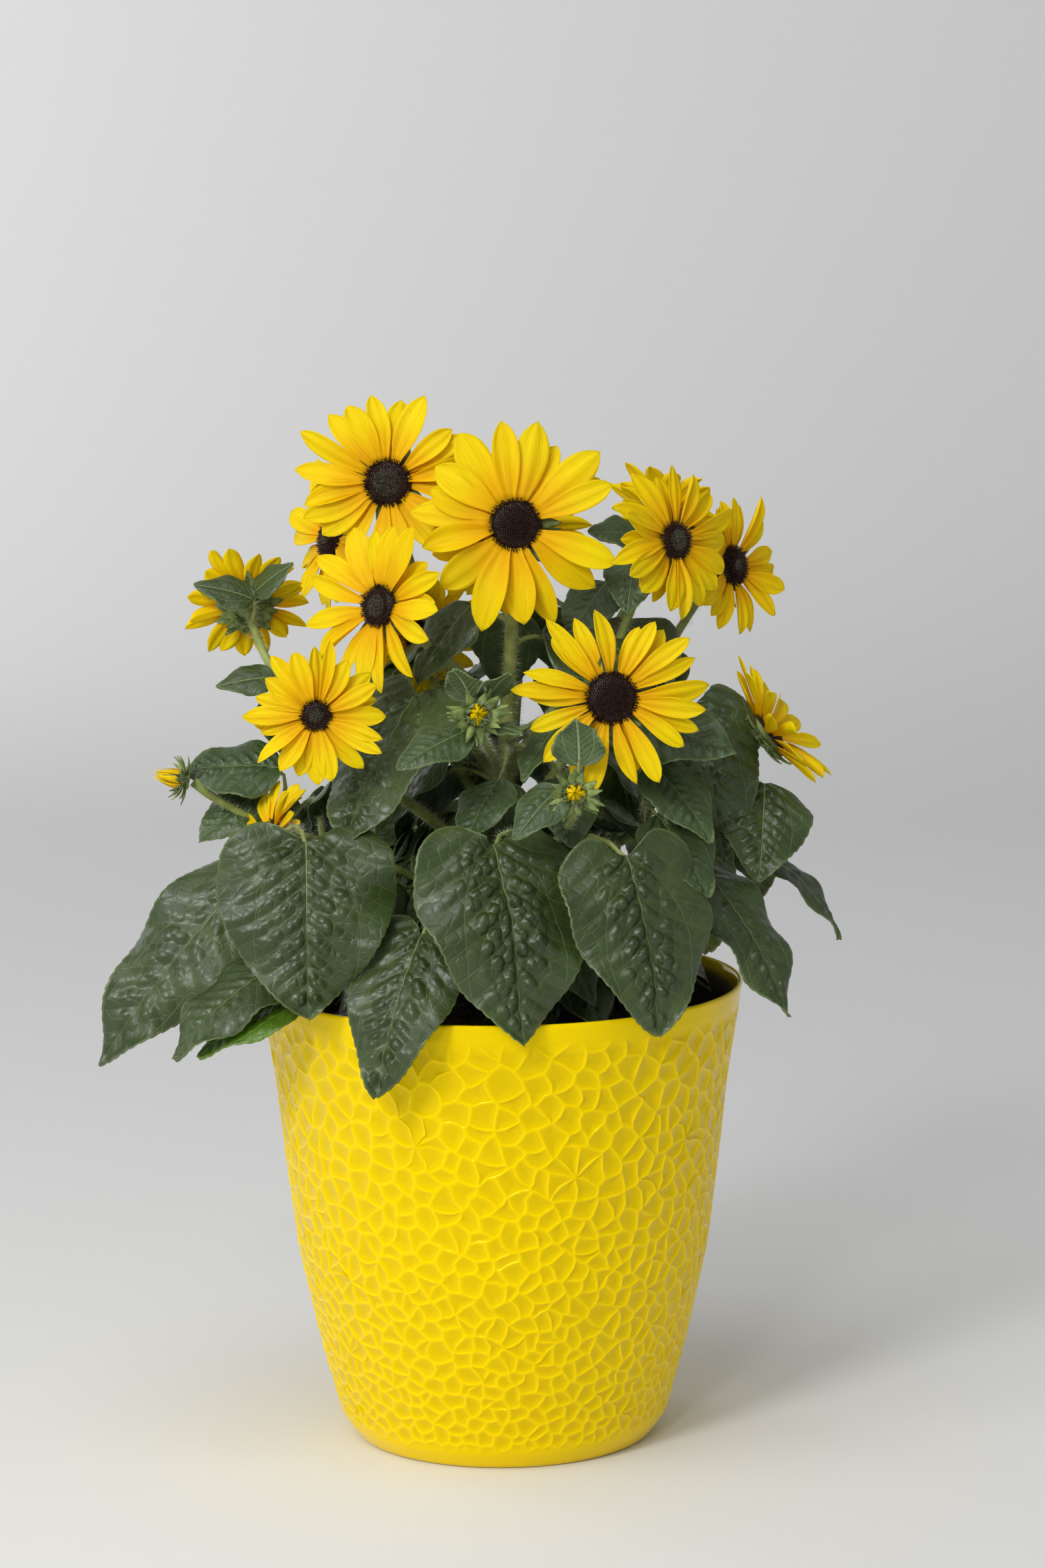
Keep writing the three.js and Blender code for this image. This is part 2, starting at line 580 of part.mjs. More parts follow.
Object.entries(LEAVES).forEach(([name, leaf]) => {
  add(`leaf_${name}`, FINISH.leaf, geometryOf(leafSolid(leaf, nearestStem(vec(leaf.foot)))));
});

Object.entries(CLUSTERS).forEach(([name, { on: [stem, share], leaves }]) => {
  const { curve, radiusAt } = stemCourses.find((course) => course.name === stem);
  const node = curve.getPointAt(share);
  const collar = new THREE.IcosahedronGeometry(radiusAt(share) + COLLAR, 0).translate(node.x, node.y, node.z);
  const joined = Object.values(leaves).reduce((sum, leaf) => sum.add(leafSolid(leaf, node)), solidOf(collar));
  add(`leaves_${name}`, FINISH.leaf, geometryOf(joined.simplify(SMOOTH)));
});

Object.entries(MASSES).forEach(([name, mass]) => {
  add(`foliage_${name}`, FINISH.leaf, leafyMass(mass));
});

export default group;
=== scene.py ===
# %% [markdown]
# # A potted sunflower, from its frame to its finish
#
# The plant is a bushy sunflower with many small blooms on branching stems, in a tapered yellow plastic
# pot. The frame gives each bloom, stem and leaf as a plain solid. Here each of those solids is replaced
# by the real thing, grown in the same place: petals and florets, blistered leaves, hairy stems, and the
# moulded net on the pot's side. Lengths in the tables are millimetres, and meshes are made in metres.

# %% Tools and the frame
import json
import math

import bmesh
import bpy
import numpy as np
from mathutils import Matrix, Vector
from mathutils.geometry import delaunay_2d_cdt
from mathutils.noise import noise

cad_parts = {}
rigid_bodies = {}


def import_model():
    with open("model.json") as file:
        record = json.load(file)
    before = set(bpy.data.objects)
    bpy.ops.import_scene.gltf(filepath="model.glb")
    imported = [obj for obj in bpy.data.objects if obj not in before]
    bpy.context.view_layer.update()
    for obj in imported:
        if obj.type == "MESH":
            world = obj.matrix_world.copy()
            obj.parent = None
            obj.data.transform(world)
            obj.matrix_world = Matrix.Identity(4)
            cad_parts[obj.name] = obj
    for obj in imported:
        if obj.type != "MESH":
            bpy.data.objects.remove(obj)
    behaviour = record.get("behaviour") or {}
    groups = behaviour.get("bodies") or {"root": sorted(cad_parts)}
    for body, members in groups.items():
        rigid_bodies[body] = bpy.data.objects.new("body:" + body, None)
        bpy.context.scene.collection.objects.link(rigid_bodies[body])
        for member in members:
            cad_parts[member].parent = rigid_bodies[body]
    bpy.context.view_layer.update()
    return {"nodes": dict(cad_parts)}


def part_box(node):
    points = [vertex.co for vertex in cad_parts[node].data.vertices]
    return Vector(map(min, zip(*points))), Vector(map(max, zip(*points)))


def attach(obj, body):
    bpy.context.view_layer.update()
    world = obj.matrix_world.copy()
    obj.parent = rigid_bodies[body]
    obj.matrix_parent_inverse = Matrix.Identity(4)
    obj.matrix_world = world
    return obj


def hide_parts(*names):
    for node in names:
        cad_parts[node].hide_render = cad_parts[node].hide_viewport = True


for left_over in list(bpy.data.objects):     # a new file's own cube, lamp and camera
    bpy.data.objects.remove(left_over)
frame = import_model()
MM = 0.001
UP = np.array([0.0, 0.0, 1.0])

# %% [markdown]
# ## Small helpers
#
# A plant is mostly grids: a blade, a petal and a stem are each a sheet of points, some rows along and some
# columns across. So one helper makes the faces of a grid, one joins many grids into one mesh, and one
# turns arrays into a Blender mesh. Two more work for shader trees and geometry trees alike: one adds a
# node with its settings and links, and the other runs a tree and hands back a plain mesh.


# %% Mesh helpers
def unit(v):
    return v / np.linalg.norm(v, axis=-1, keepdims=True)


def grid_faces(rows, columns, closed=False):
    """Quads between neighbouring rows. closed joins the last column to the first, as on a tube."""
    i, j = np.meshgrid(np.arange(rows - 1), np.arange(columns - (not closed)), indexing="ij")
    i, j, k = i.ravel() * columns, j.ravel(), (j.ravel() + 1) % columns
    return np.stack([i + j, i + k, i + columns + k, i + columns + j], axis=1)


def joined(parts):
    """Parts are dictionaries of points, faces and any attributes, one row for each point."""
    starts = np.cumsum([0] + [len(p["points"]) for p in parts])
    whole = {key: np.concatenate([p[key] for p in parts]) for key in parts[0] if key != "faces"}
    whole["faces"] = np.concatenate([p["faces"] + s for p, s in zip(parts, starts)])
    return whole


def new_mesh(name, part):
    """A mesh from points in millimetres, faces (an array, or a list of arrays) and named attributes."""
    groups = part["faces"] if isinstance(part["faces"], list) else [part["faces"]]
    sizes = np.concatenate([np.full(len(g), g.shape[1]) for g in groups])
    mesh = bpy.data.meshes.new(name)
    mesh.vertices.add(len(part["points"]))
    mesh.vertices.foreach_set("co", (part["points"] * MM).astype(np.float32).ravel())
    mesh.loops.add(int(sizes.sum()))
    mesh.loops.foreach_set("vertex_index", np.concatenate([g.ravel() for g in groups]).astype(np.int32))
    mesh.polygons.add(len(sizes))
    mesh.polygons.foreach_set("loop_start", (np.cumsum(sizes) - sizes).astype(np.int32))
    mesh.polygons.foreach_set("use_smooth", np.ones(len(sizes), bool))
    for key, values in part.items():
        if key not in ("points", "faces"):
            kind, field = ("FLOAT", "value") if values.ndim == 1 else ("FLOAT_VECTOR", "vector")
            attribute = mesh.attributes.new(key, kind, "POINT")
            attribute.data.foreach_set(field, values.astype(np.float32).ravel())
    mesh.update(calc_edges=True)
    return mesh


# %% Node helpers
def srgb(code):
    """The linear colour of an sRGB hex value."""
    parts = [int(code[i : i + 2], 16) / 255 for i in (1, 3, 5)]
    return (*[p / 12.92 if p <= 0.04045 else ((p + 0.055) / 1.055) ** 2.4 for p in parts], 1.0)


def add(tree, kind, inputs=None, **settings):
    """Adds a node. inputs gives its sockets, by name or number, a value or another node's output."""
    made = tree.nodes.new(kind)
    for key, value in settings.items():
        setattr(made, key, value)
    for key, value in (inputs or {}).items():
        if isinstance(value, bpy.types.NodeSocket):
            tree.links.new(value, made.inputs[key])
        else:
            made.inputs[key].default_value = value
    return made


def number(tree, operation, *values):
    return add(tree, "ShaderNodeMath", dict(enumerate(values)), operation=operation).outputs[0]


def times(tree, value, *others):
    for other in others:
        value = number(tree, "MULTIPLY", value, other)
    return value


def ramped(tree, value, low, high, to_low=0.0, to_high=1.0):
    """value, from low to high, as a smooth step from to_low to to_high."""
    sockets = {0: value, 1: low, 2: high, 3: to_low, 4: to_high}
    return add(tree, "ShaderNodeMapRange", sockets, interpolation_type="SMOOTHSTEP").outputs[0]


def drawn(tree, low, high, seed=0):
    """A random value for each point, between two numbers or two vectors."""
    first, kind, out = (0, "FLOAT_VECTOR", 0) if isinstance(low, tuple) else (2, "FLOAT", 1)
    sockets = {first: low, first + 1: high, "Seed": seed}
    return add(tree, "FunctionNodeRandomValue", sockets, data_type=kind).outputs[out]


def copies(tree, points, copied, rotation, scale):
    """Copies of a small mesh on points, as real geometry."""
    sockets = {"Points": points, "Instance": copied, "Rotation": rotation, "Scale": scale}
    placed = add(tree, "GeometryNodeInstanceOnPoints", sockets)
    return add(tree, "GeometryNodeRealizeInstances", {0: placed.outputs[0]}).outputs[0]


def together(tree, *parts):
    whole = add(tree, "GeometryNodeJoinGeometry")
    for part in parts:
        tree.links.new(part, whole.inputs[0])
    return whole.outputs[0]


def painted(tree, part, material, chosen=True):
    return add(tree, "GeometryNodeSetMaterial", {0: part, 1: chosen, 2: material}).outputs[0]


def geometry_tree(name, inputs):
    """An empty geometry tree with named inputs, each a socket kind and a value."""
    tree = bpy.data.node_groups.new(name, "GeometryNodeTree")
    tree.interface.new_socket("Geometry", in_out="INPUT", socket_type="NodeSocketGeometry")
    for label, (kind, value) in inputs.items():
        socket = tree.interface.new_socket(label, in_out="INPUT", socket_type="NodeSocket" + kind)
        socket.default_value = value
    tree.interface.new_socket("Geometry", in_out="OUTPUT", socket_type="NodeSocketGeometry")
    return tree, tree.nodes.new("NodeGroupInput").outputs, tree.nodes.new("NodeGroupOutput").inputs


def worked(mesh, tree=None, values=None, thickness=0.0, materials=()):
    """Runs a tree on a mesh, may give the sheet a thickness in millimetres, and hands back a plain mesh.
    With a thickness, the under side takes the second material."""
    holder = bpy.data.objects.new("holder", mesh)
    bpy.context.scene.collection.objects.link(holder)
    for material in materials:
        mesh.materials.append(material)
    if tree:
        made = holder.modifiers.new("rule", "NODES")
        made.node_group = tree
        for item in tree.interface.items_tree:
            if item.in_out == "INPUT" and item.name in (values or {}):
                made[item.identifier] = values[item.name]
    if thickness:
        wall = holder.modifiers.new("wall", "SOLIDIFY")
        wall.thickness = thickness * MM
        wall.offset = -1
        wall.material_offset = wall.material_offset_rim = 1
    plain = bpy.data.meshes.new_from_object(holder.evaluated_get(bpy.context.evaluated_depsgraph_get()))
    bpy.data.objects.remove(holder)
    return plain


def triangles(mesh):
    return sum(len(p.vertices) - 2 for p in mesh.polygons)


def piece(name, mesh, nodes, material=None):
    """A finished piece that stands for CAD nodes, which it hides, with the given material if there is one."""
    if material:
        mesh.materials.clear()
        mesh.materials.append(material)
    mesh.name = name
    made = bpy.data.objects.new(name, mesh)
    bpy.context.scene.collection.objects.link(made)
    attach(made, "root")
    if nodes:
        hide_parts(*nodes)
    print(f"{name}: {triangles(mesh)} triangles for {len(nodes)} nodes")
    return made

# %% [markdown]
# ## Room, light and camera
#
# A plant is shown in a studio in front of a seamless sweep: a floor that curves up into a wall, so
# that no line shows behind the pot. Here the sweep goes right round, because the plant is looked at from
# every side. A fairly small key lamp, high on the left, draws short bright streaks on the glossy pot and
# gives the shade its direction. A smaller one near the camera brightens the front, a wide one above fills
# the top, and weak ones on the left and the right soften the shade. The last two light the sweep's wall
# and floor behind the plant.

# %% Sweep, lamps and camera
SWEEP_RADIUS, SWEEP_COVE, SWEEP_HEIGHT = 6500, 3000, 4200


def studio():
    cove = [(SWEEP_RADIUS + SWEEP_COVE * (math.sin(a) - 1), SWEEP_COVE * (1 - math.cos(a)))
            for a in np.linspace(0, math.pi / 2, 13)]
    side = [(10, 0), (1500, 0), (3000, 0), *cove, (SWEEP_RADIUS, SWEEP_HEIGHT)]     # radius and height
    turns = np.linspace(0, 2 * math.pi, 96, endpoint=False)
    points = np.array([(r * math.cos(a), r * math.sin(a), z) for r, z in side for a in turns])
    middle = len(points)
    fan = [(middle, i, (i + 1) % len(turns)) for i in range(len(turns))]
    faces = [grid_faces(len(side), len(turns), closed=True)[:, ::-1], np.array(fan)]
    return new_mesh("studio_sweep", {"points": np.vstack([points, [0, 0, 0]]), "faces": faces})


def lamp(name, place, size, power, aim=(0, 0, 0.28)):
    """A square area lamp, aimed at the middle of the plant unless told otherwise. Lengths in metres."""
    light = bpy.data.lights.new(name, "AREA")
    light.size, light.energy = size, power
    made = bpy.data.objects.new(name, light)
    made.location = place
    made.rotation_euler = (Vector(aim) - Vector(place)).to_track_quat("-Z", "Y").to_euler()
    made.visible_camera = False
    bpy.context.scene.collection.objects.link(made)


paper = bpy.data.materials.new("matt_studio_paper")
paper.use_nodes = True
paper_sockets = paper.node_tree.nodes["Principled BSDF"].inputs
paper_sockets["Base Color"].default_value, paper_sockets["Roughness"].default_value = srgb("#E4E4E3"), 0.9
sweep = bpy.data.objects.new("studio_sweep", studio())
sweep.data.materials.append(paper)
bpy.context.scene.collection.objects.link(sweep)

# Name, place, size and power, and for some of them a point to aim at.
lamp("key", (-1.2, -2.1, 1.75), 0.6, 32)
lamp("front", (-0.5, -2.4, 1.4), 0.28, 8)
lamp("window_left", (-1.9, -0.7, 0.9), 1.2, 6, (-0.5, -0.1, 0.0))
lamp("fill_right", (2.2, -1.5, 1.3), 1.4, 1.5)
lamp("top", (-0.4, -0.9, 2.4), 1.5, 16)
lamp("on_the_wall", (-2.9, 2.3, 3.6), 1.8, 128, (-2.8, 6.0, 3.4))
lamp("on_the_floor", (-2.9, 2.2, 1.7), 1.2, 24, (-2.1, 3.3, 0.0))

world = bpy.data.worlds.new("studio_air")
world.use_nodes = True
air = world.node_tree.nodes["Background"].inputs
air["Color"].default_value, air["Strength"].default_value = srgb("#F4F6F8"), 0.36
bpy.context.scene.world = world
bpy.context.scene.view_settings.view_transform = "Standard"

# The camera stands two metres in front, a little above the blooms, and looks down by eight degrees.
CAMERA_PLACE, CAMERA_PITCH, CAMERA_ROLL, CAMERA_LENS = (0.0115, -2.061, 0.618), 8.08, 0.45, 97.0
SENSOR_WIDTH, PLANT_AWAY = 36, 2.08        # millimetres, and metres from the camera to the plant
pitch, roll = math.radians(CAMERA_PITCH), math.radians(CAMERA_ROLL)
ahead, level = Vector((0, math.cos(pitch), -math.sin(pitch))), Vector((1, 0, 0))
upright = level.cross(ahead)
right = level * math.cos(roll) - upright * math.sin(roll)
top = upright * math.cos(roll) + level * math.sin(roll)
camera = bpy.data.objects.new("camera", bpy.data.cameras.new("camera"))
camera.data.lens, camera.data.sensor_width = CAMERA_LENS, SENSOR_WIDTH
camera.matrix_world = Matrix.Translation(CAMERA_PLACE) @ Matrix((right, top, -ahead)).transposed().to_4x4()
bpy.context.scene.collection.objects.link(camera)
bpy.context.scene.camera = camera
print("camera aims at", [round(v, 3) for v in Vector(CAMERA_PLACE) + ahead * PLANT_AWAY])

# %% [markdown]
# ## Finishes
#
# Each finish starts from what the real surface is. Living tissue is thin and wet inside, so some light
# comes through petals and leaves: their shader mixes a translucent share into the glossy one. Patterns
# follow attributes that the meshes carry: how far along a petal or blade a point is and how far from its
# midrib, in millimetres, so a vein on a big leaf is as fine as one on a small leaf.


# %% Shader helpers
def finish(name, roughness, ior=1.45, **sockets):
    """A new material with its Principled node. sockets are set on the node, with _ for a space."""
    material = bpy.data.materials.new(name)
    material.use_nodes = True
    tree = material.node_tree
    shader = tree.nodes["Principled BSDF"]
    shader.inputs["Roughness"].default_value = roughness
    shader.inputs["IOR"].default_value = ior
    for key, value in sockets.items():
        shader.inputs[key.replace("_", " ")].default_value = value
    return material, tree, shader


def mixed(tree, share, first, second):
    """A colour between two, each a hex value or a node's output."""
    first, second = (srgb(c) if isinstance(c, str) else c for c in (first, second))
    return add(tree, "ShaderNodeMix", {0: share, 6: first, 7: second}, data_type="RGBA").outputs[2]


def read(tree, attribute):
    """An attribute's node and its three parts."""
    node = add(tree, "ShaderNodeAttribute", attribute_name=attribute)
    return node, add(tree, "ShaderNodeSeparateXYZ", {0: node.outputs["Vector"]}).outputs


def factor(tree, attribute):
    return add(tree, "ShaderNodeAttribute", attribute_name=attribute).outputs["Fac"]


def scaled(tree, vector, scale):
    return add(tree, "ShaderNodeVectorMath", {0: vector, 1: scale}, operation="MULTIPLY").outputs[0]


def grain(tree, vector, scale, detail=2.0):
    return add(tree, "ShaderNodeTexNoise", {"Vector": vector, "Scale": scale, "Detail": detail}).outputs[0]


def bumped(tree, shader, height, depth_mm, strength=1.0):
    bump = add(tree, "ShaderNodeBump", {"Height": height, "Distance": depth_mm * MM, "Strength": strength})
    tree.links.new(bump.outputs[0], shader.inputs["Normal"])


def let_through(material, shader, colour, share):
    """Mixes in a translucent share of a colour, as in a sheet that light shines through."""
    tree = material.node_tree
    glow = add(tree, "ShaderNodeBsdfTranslucent", {"Color": colour})
    both = add(tree, "ShaderNodeMixShader", {0: share, 1: shader.outputs[0], 2: glow.outputs[0]})
    tree.links.new(both.outputs[0], tree.nodes["Material Output"].inputs["Surface"])


def object_points(tree):
    return add(tree, "ShaderNodeTexCoord").outputs["Object"]


# %% [markdown]
# ### Petals
#
# A ray floret is a strap of satin tissue, lemon yellow towards its tip and orange yellow where it leaves
# the disc. Fine parallel veins run its whole length, a third of a millimetre apart.


# %% Petal finish
def petal_finish(name, tip, base, vein):
    material, tree, shader = finish(name, 0.55, Specular_IOR_Level=0.22)
    at, part = read(tree, "petal")          # share of its length, millimetres sideways, seed
    streaks = grain(tree, scaled(tree, at.outputs["Vector"], (1.2, 1.5, 1.0)), 1.6)
    fine = grain(tree, scaled(tree, at.outputs["Vector"], (2.0, 6.0, 1.0)), 1.0)
    own = grain(tree, scaled(tree, at.outputs["Vector"], (0.0, 0.0, 1.0)), 3.0, 0.0)
    colour = mixed(tree, ramped(tree, part[0], -0.05, 0.75), base, tip)
    colour = mixed(tree, ramped(tree, streaks, 0.5, 0.8, 0.0, 0.6), colour, vein)
    colour = mixed(tree, ramped(tree, fine, 0.52, 0.68, 0.0, 0.45), colour, vein)
    colour = mixed(tree, ramped(tree, own, 0.35, 0.7, 0.0, 0.2), colour, base)
    tree.links.new(colour, shader.inputs["Base Color"])
    bumped(tree, shader, number(tree, "ADD", fine, streaks), 0.25, 0.6)
    let_through(material, shader, colour, 0.3)
    return material


PETAL = petal_finish("satin_ray_floret", "#FFEB00", "#FFC600", "#ECA800")
print("petal finish:", len(PETAL.node_tree.nodes), "nodes")

# %% [markdown]
# ### Leaves
#
# A sunflower leaf is rough, dark green and slightly waxy above, paler and duller beneath. Its midrib and
# side veins are sunk pale lines. Between them a net of small veins lets the blade bulge into blisters,
# whose middles carry painted shade, and a thin pale line runs round the margin.
# The blade's own coordinates give the midrib as the line where the sideways distance is nought, and the
# side veins as lines where two other attributes cross zero, so each stays crisp on a coarse mesh.


# %% Leaf finishes
NET_CELL = 5.8        # millimetres between the small veins of the net


def domes(tree, at):
    """Round blisters, one to each mesh of the net of small veins: 1 in the middle, 0 far from it."""
    cell = add(tree, "ShaderNodeTexVoronoi", {"Vector": at, "Scale": 1 / NET_CELL}, voronoi_dimensions="3D").outputs[0]
    return ramped(tree, times(tree, cell, cell), 0.0, 0.6, 1.0, 0.0)


def line_share(tree, distance, half_width, strongest, core=0.4):
    """Share of a vein's colour: strongest over the core of its half width, and none outside it."""
    return ramped(tree, distance, half_width * core, half_width, strongest, 0.0)


def vein_lines(tree, widths):
    """Veins of these half widths in mm: midrib, main side veins, side veins and net. Gives the share of vein
    colour, the distance from the net, the blisters, and where on the blade a point is."""
    at, part = read(tree, "blade")          # millimetres along, millimetres sideways, seed
    veins = read(tree, "veins")[1]          # distance from the main side vein, phase and pitch of side veins
    fading = ramped(tree, part[0], 8.0, 55.0, 1.0, 0.25)
    middle = times(tree, fading, line_share(tree, number(tree, "ABSOLUTE", part[1]), widths[0], 1.0))
    main = line_share(tree, number(tree, "ABSOLUTE", veins[0]), widths[1], 0.3)
    beat = number(tree, "PINGPONG", veins[1], 0.5)
    side = line_share(tree, times(tree, beat, veins[2]), widths[2], 0.17)
    cells = {"Vector": at.outputs["Vector"], "Scale": 1 / NET_CELL}
    net = add(tree, "ShaderNodeTexVoronoi", cells, feature="DISTANCE_TO_EDGE", voronoi_dimensions="3D")
    edge = times(tree, net.outputs[0], NET_CELL)
    small = line_share(tree, edge, widths[3], 0.05, 0.3)
    dome = domes(tree, at.outputs["Vector"])
    lines = number(tree, "MAXIMUM", number(tree, "MAXIMUM", middle, main), number(tree, "MAXIMUM", side, small))
    return lines, edge, dome, at


def leaf_finish(name, colours, widths, roughness, clear=0.12):
    """colours: the painted shade in a blister's middle, two that mix over the blade in clouds, and of the veins."""
    blister_shade, deep, light, vein = colours
    material, tree, shader = finish(name, roughness, Specular_IOR_Level=0.75)
    lines, edge, dome, at = vein_lines(tree, widths)
    cloud = grain(tree, at.outputs["Vector"], 0.05)
    speck = grain(tree, at.outputs["Vector"], 1.1, 3.0)
    colour = mixed(tree, ramped(tree, cloud, 0.3, 0.75, 0.0, 0.6), deep, light)
    colour = mixed(tree, ramped(tree, speck, 0.5, 0.75, 0.0, 0.25), colour, light)
    quilt = factor(tree, "quilt")           # how high the blisters stand there
    # Painted shade: a blister's middle is darkened, the more the higher the blisters stand there.
    blister_shade_share = times(tree, ramped(tree, quilt, 0.1, 1.3, 0.0, 1.0), ramped(tree, dome, 0.05, 0.75, 0.0, 0.32))
    colour = mixed(tree, blister_shade_share, colour, blister_shade)
    colour = mixed(tree, lines, colour, vein)
    rim = ramped(tree, factor(tree, "margin"), 0.3, 1.3, 0.3, 0.0)      # a thin pale edge
    colour = mixed(tree, rim, colour, vein)
    tree.links.new(colour, shader.inputs["Base Color"])
    tree.links.new(ramped(tree, speck, 0.3, 0.7, roughness - 0.04, roughness + 0.06), shader.inputs["Roughness"])
    blister = times(tree, quilt, times(tree, dome, 0.45))
    sunk = number(tree, "SUBTRACT", times(tree, speck, 0.1), times(tree, lines, 1.2))
    furrow = ramped(tree, edge, 0.0, 1.3, 0.0, 0.06)
    bumped(tree, shader, number(tree, "ADD", number(tree, "ADD", blister, furrow), sunk), 1.0)
    let_through(material, shader, mixed(tree, 0.5, colour, "#6E8F22"), clear)
    return material


# Each row's first colour is the painted shade in the blisters' middles.
LEAF_TOP, LEAF_UNDER, YOUNG_TOP, BRIGHT_TOP = (leaf_finish(*row) for row in (
    ("waxy_leaf_upper_side", ("#1A2A0C", "#2E4016", "#4A5E2C", "#8FA064"), (0.45, 0.35, 0.3, 0.3), 0.36),
    ("matt_leaf_under_side", ("#44573A", "#4F643A", "#667B4A", "#93A56F"), (1.0, 0.8, 0.6, 0.4), 0.6),
    ("young_leaf_upper_side", ("#26371A", "#344A22", "#4F6636", "#8BA066"), (0.4, 0.35, 0.3, 0.3), 0.42),
    ("sunlit_leaf_upper_side", ("#2A4406", "#3E5E08", "#628A16", "#9CC24A"), (0.75, 0.5, 0.45, 0.3), 0.38)))
print("leaf finishes:", [m.name for m in (LEAF_TOP, LEAF_UNDER, YOUNG_TOP, BRIGHT_TOP)])

# %% [markdown]
# ### Stems, bracts, florets, soil and pot
#
# Stems and bracts are pale green under white bristles, which are real hairs here and not paint. The disc
# florets are almost black, with a brown gleam at their tips. The soil is peat, crumbly and dark with damp.
# The pot is polypropylene with a high gloss. Its thin raised net is painted a little brighter than the sunk
# floors between, as a painted highlight on the crests and painted shade in the floors. The inner wall is
# matt below the rim, and painted shade darkens it from just under the rim down to the soil.


# %% Other finishes
def speckled(name, dark, light, roughness, cell_mm, depth_mm=0.2, **sockets):
    """A finish with one noise of a real size, which mixes two colours and roughens the surface."""
    material, tree, shader = finish(name, roughness, **sockets)
    noise_at = grain(tree, object_points(tree), 1 / (cell_mm * MM), 3.0)
    colour = mixed(tree, ramped(tree, noise_at, 0.35, 0.68), dark, light)
    tree.links.new(colour, shader.inputs["Base Color"])
    bumped(tree, shader, noise_at, depth_mm)
    return material


STEM = speckled("hairy_green_stem", "#778340", "#9BA65C", 0.6, 9.0)
BRACT = speckled("hairy_green_bract", "#4F622C", "#8C9C58", 0.6, 7.0)
HAIR = speckled("white_bristle", "#C9CFB4", "#E6E8DA", 0.5, 3.0)
DARK_FLORET = speckled("nearly_black_disc_floret", "#120A07", "#452616", 0.5, 0.9)
YOUNG_FLORET = speckled("grey_green_unopened_floret", "#241E16", "#5A5440", 0.55, 1.1)
SOIL = speckled("damp_peat", "#20160F", "#4A3522", 0.9, 6.0, 0.8)


def pot_finish():
    material, tree, shader = finish("glossy_moulded_polypropylene", 0.07, 1.49, Specular_IOR_Level=0.3)
    shader.inputs["Specular Tint"].default_value = srgb("#FFE878")     # the resin's dye shows in its gloss
    height = factor(tree, "relief")         # 0 on a cell's floor, 1 on a crest, and below 0 on the inner wall, where shade is painted
    drift = grain(tree, object_points(tree), 14.0)
    # Painted highlight and shade: crests lighter than the floors between them.
    colour = mixed(tree, ramped(tree, height, 0.1, 0.95), "#F9D500", "#FFDE00")
    colour = mixed(tree, ramped(tree, drift, 0.3, 0.7, 0.0, 0.12), colour, "#FFDA00")
    # Painted shade on the inner wall, where the value drops below 0.
    colour = mixed(tree, ramped(tree, height, -1.0, 0.2, 1.0, 0.0), colour, "#33260F")
    tree.links.new(colour, shader.inputs["Base Color"])
    tree.links.new(ramped(tree, height, -1.0, 0.2, 0.55, 0.07), shader.inputs["Roughness"])
    bumped(tree, shader, grain(tree, object_points(tree), 260.0), 0.05, 0.25)
    return material


POT = pot_finish()
print("finishes:", [m.name for m in bpy.data.materials])

# %% [markdown]
# ## The pot
#
# The real pot is injection moulded, and its side carries a raised net of curved ridges round sunk cells,
# small at the foot and larger towards the rim. A bump in the material could suggest it, but the ridges
# break the outline and catch the lamp, so they are modelled. Cells that share their walls are a Voronoi
# diagram: points are scattered, closer together low down, and each cell is all that lies nearest to its
# point. Rings of points round an empty middle make the fans where many ridges meet. The scatter is done
# on the side unrolled without distortion, where a length is an angle, so cells stay round as the pot
# narrows. Each cell is then built as rings, from the ridge's crest down to a slightly dished floor.

# %% The pot's side, from the frame
# Its outer side is where the vertices face outwards.
pot_vertices = frame["nodes"]["pot"].data.vertices
side_points = np.array([v.co for v in pot_vertices if v.normal.xy.dot(v.co.xy) > 0.5 * v.co.xy.length]) / MM
side_radius = np.hypot(side_points[:, 0], side_points[:, 1])
levels = np.unique(np.round(side_points[:, 2], 1))
widest = np.array([side_radius[abs(side_points[:, 2] - z) < 0.06].max() for z in levels])
fine_levels = np.linspace(0, levels.max(), 900)
fine_radius = np.interp(fine_levels, levels, widest)
for _ in range(3):        # smooths away the frame's short straight runs
    fine_radius[8:-8] = np.convolve(fine_radius, np.ones(17) / 17, "valid")
POT_TOP = float(levels.max())
# Height on the unrolled side: it grows by a step's length over the radius.
unrolled = np.concatenate([[0], np.cumsum(np.hypot(np.diff(fine_levels), np.diff(fine_radius)) / fine_radius[1:])])
print("pot:", round(POT_TOP), "mm tall, rim", round(2 * fine_radius[-1]), "mm across")

# %% Scattered points
NET_LOW, NET_HIGH = 8.0, 219.5            # the band of net, between two plain bands
CELL_AT = ([8, 115, 220], [7.0, 9.2, 12.2])   # three heights, and the size of a cell at each
FAN_CELLS, FAN_RING, FAN_EDGE, FAN_ROOM = 7, 0.85, 1.62, 5.0      # radii and room in cells
FAN_TRIES, CELL_TRIES = 34, 26000
CELL_SPREAD, CELL_ROOM = (0.62, 1.1), 0.8     # sizes as shares of the usual, and how near another may come
pot_random = np.random.default_rng(11)
low_edge, high_edge = np.interp([NET_LOW, NET_HIGH], fine_levels, unrolled)


def cell_size(v):
    z = np.interp(v, unrolled, fine_levels)
    return np.interp(z, *CELL_AT) / np.interp(z, fine_levels, fine_radius)


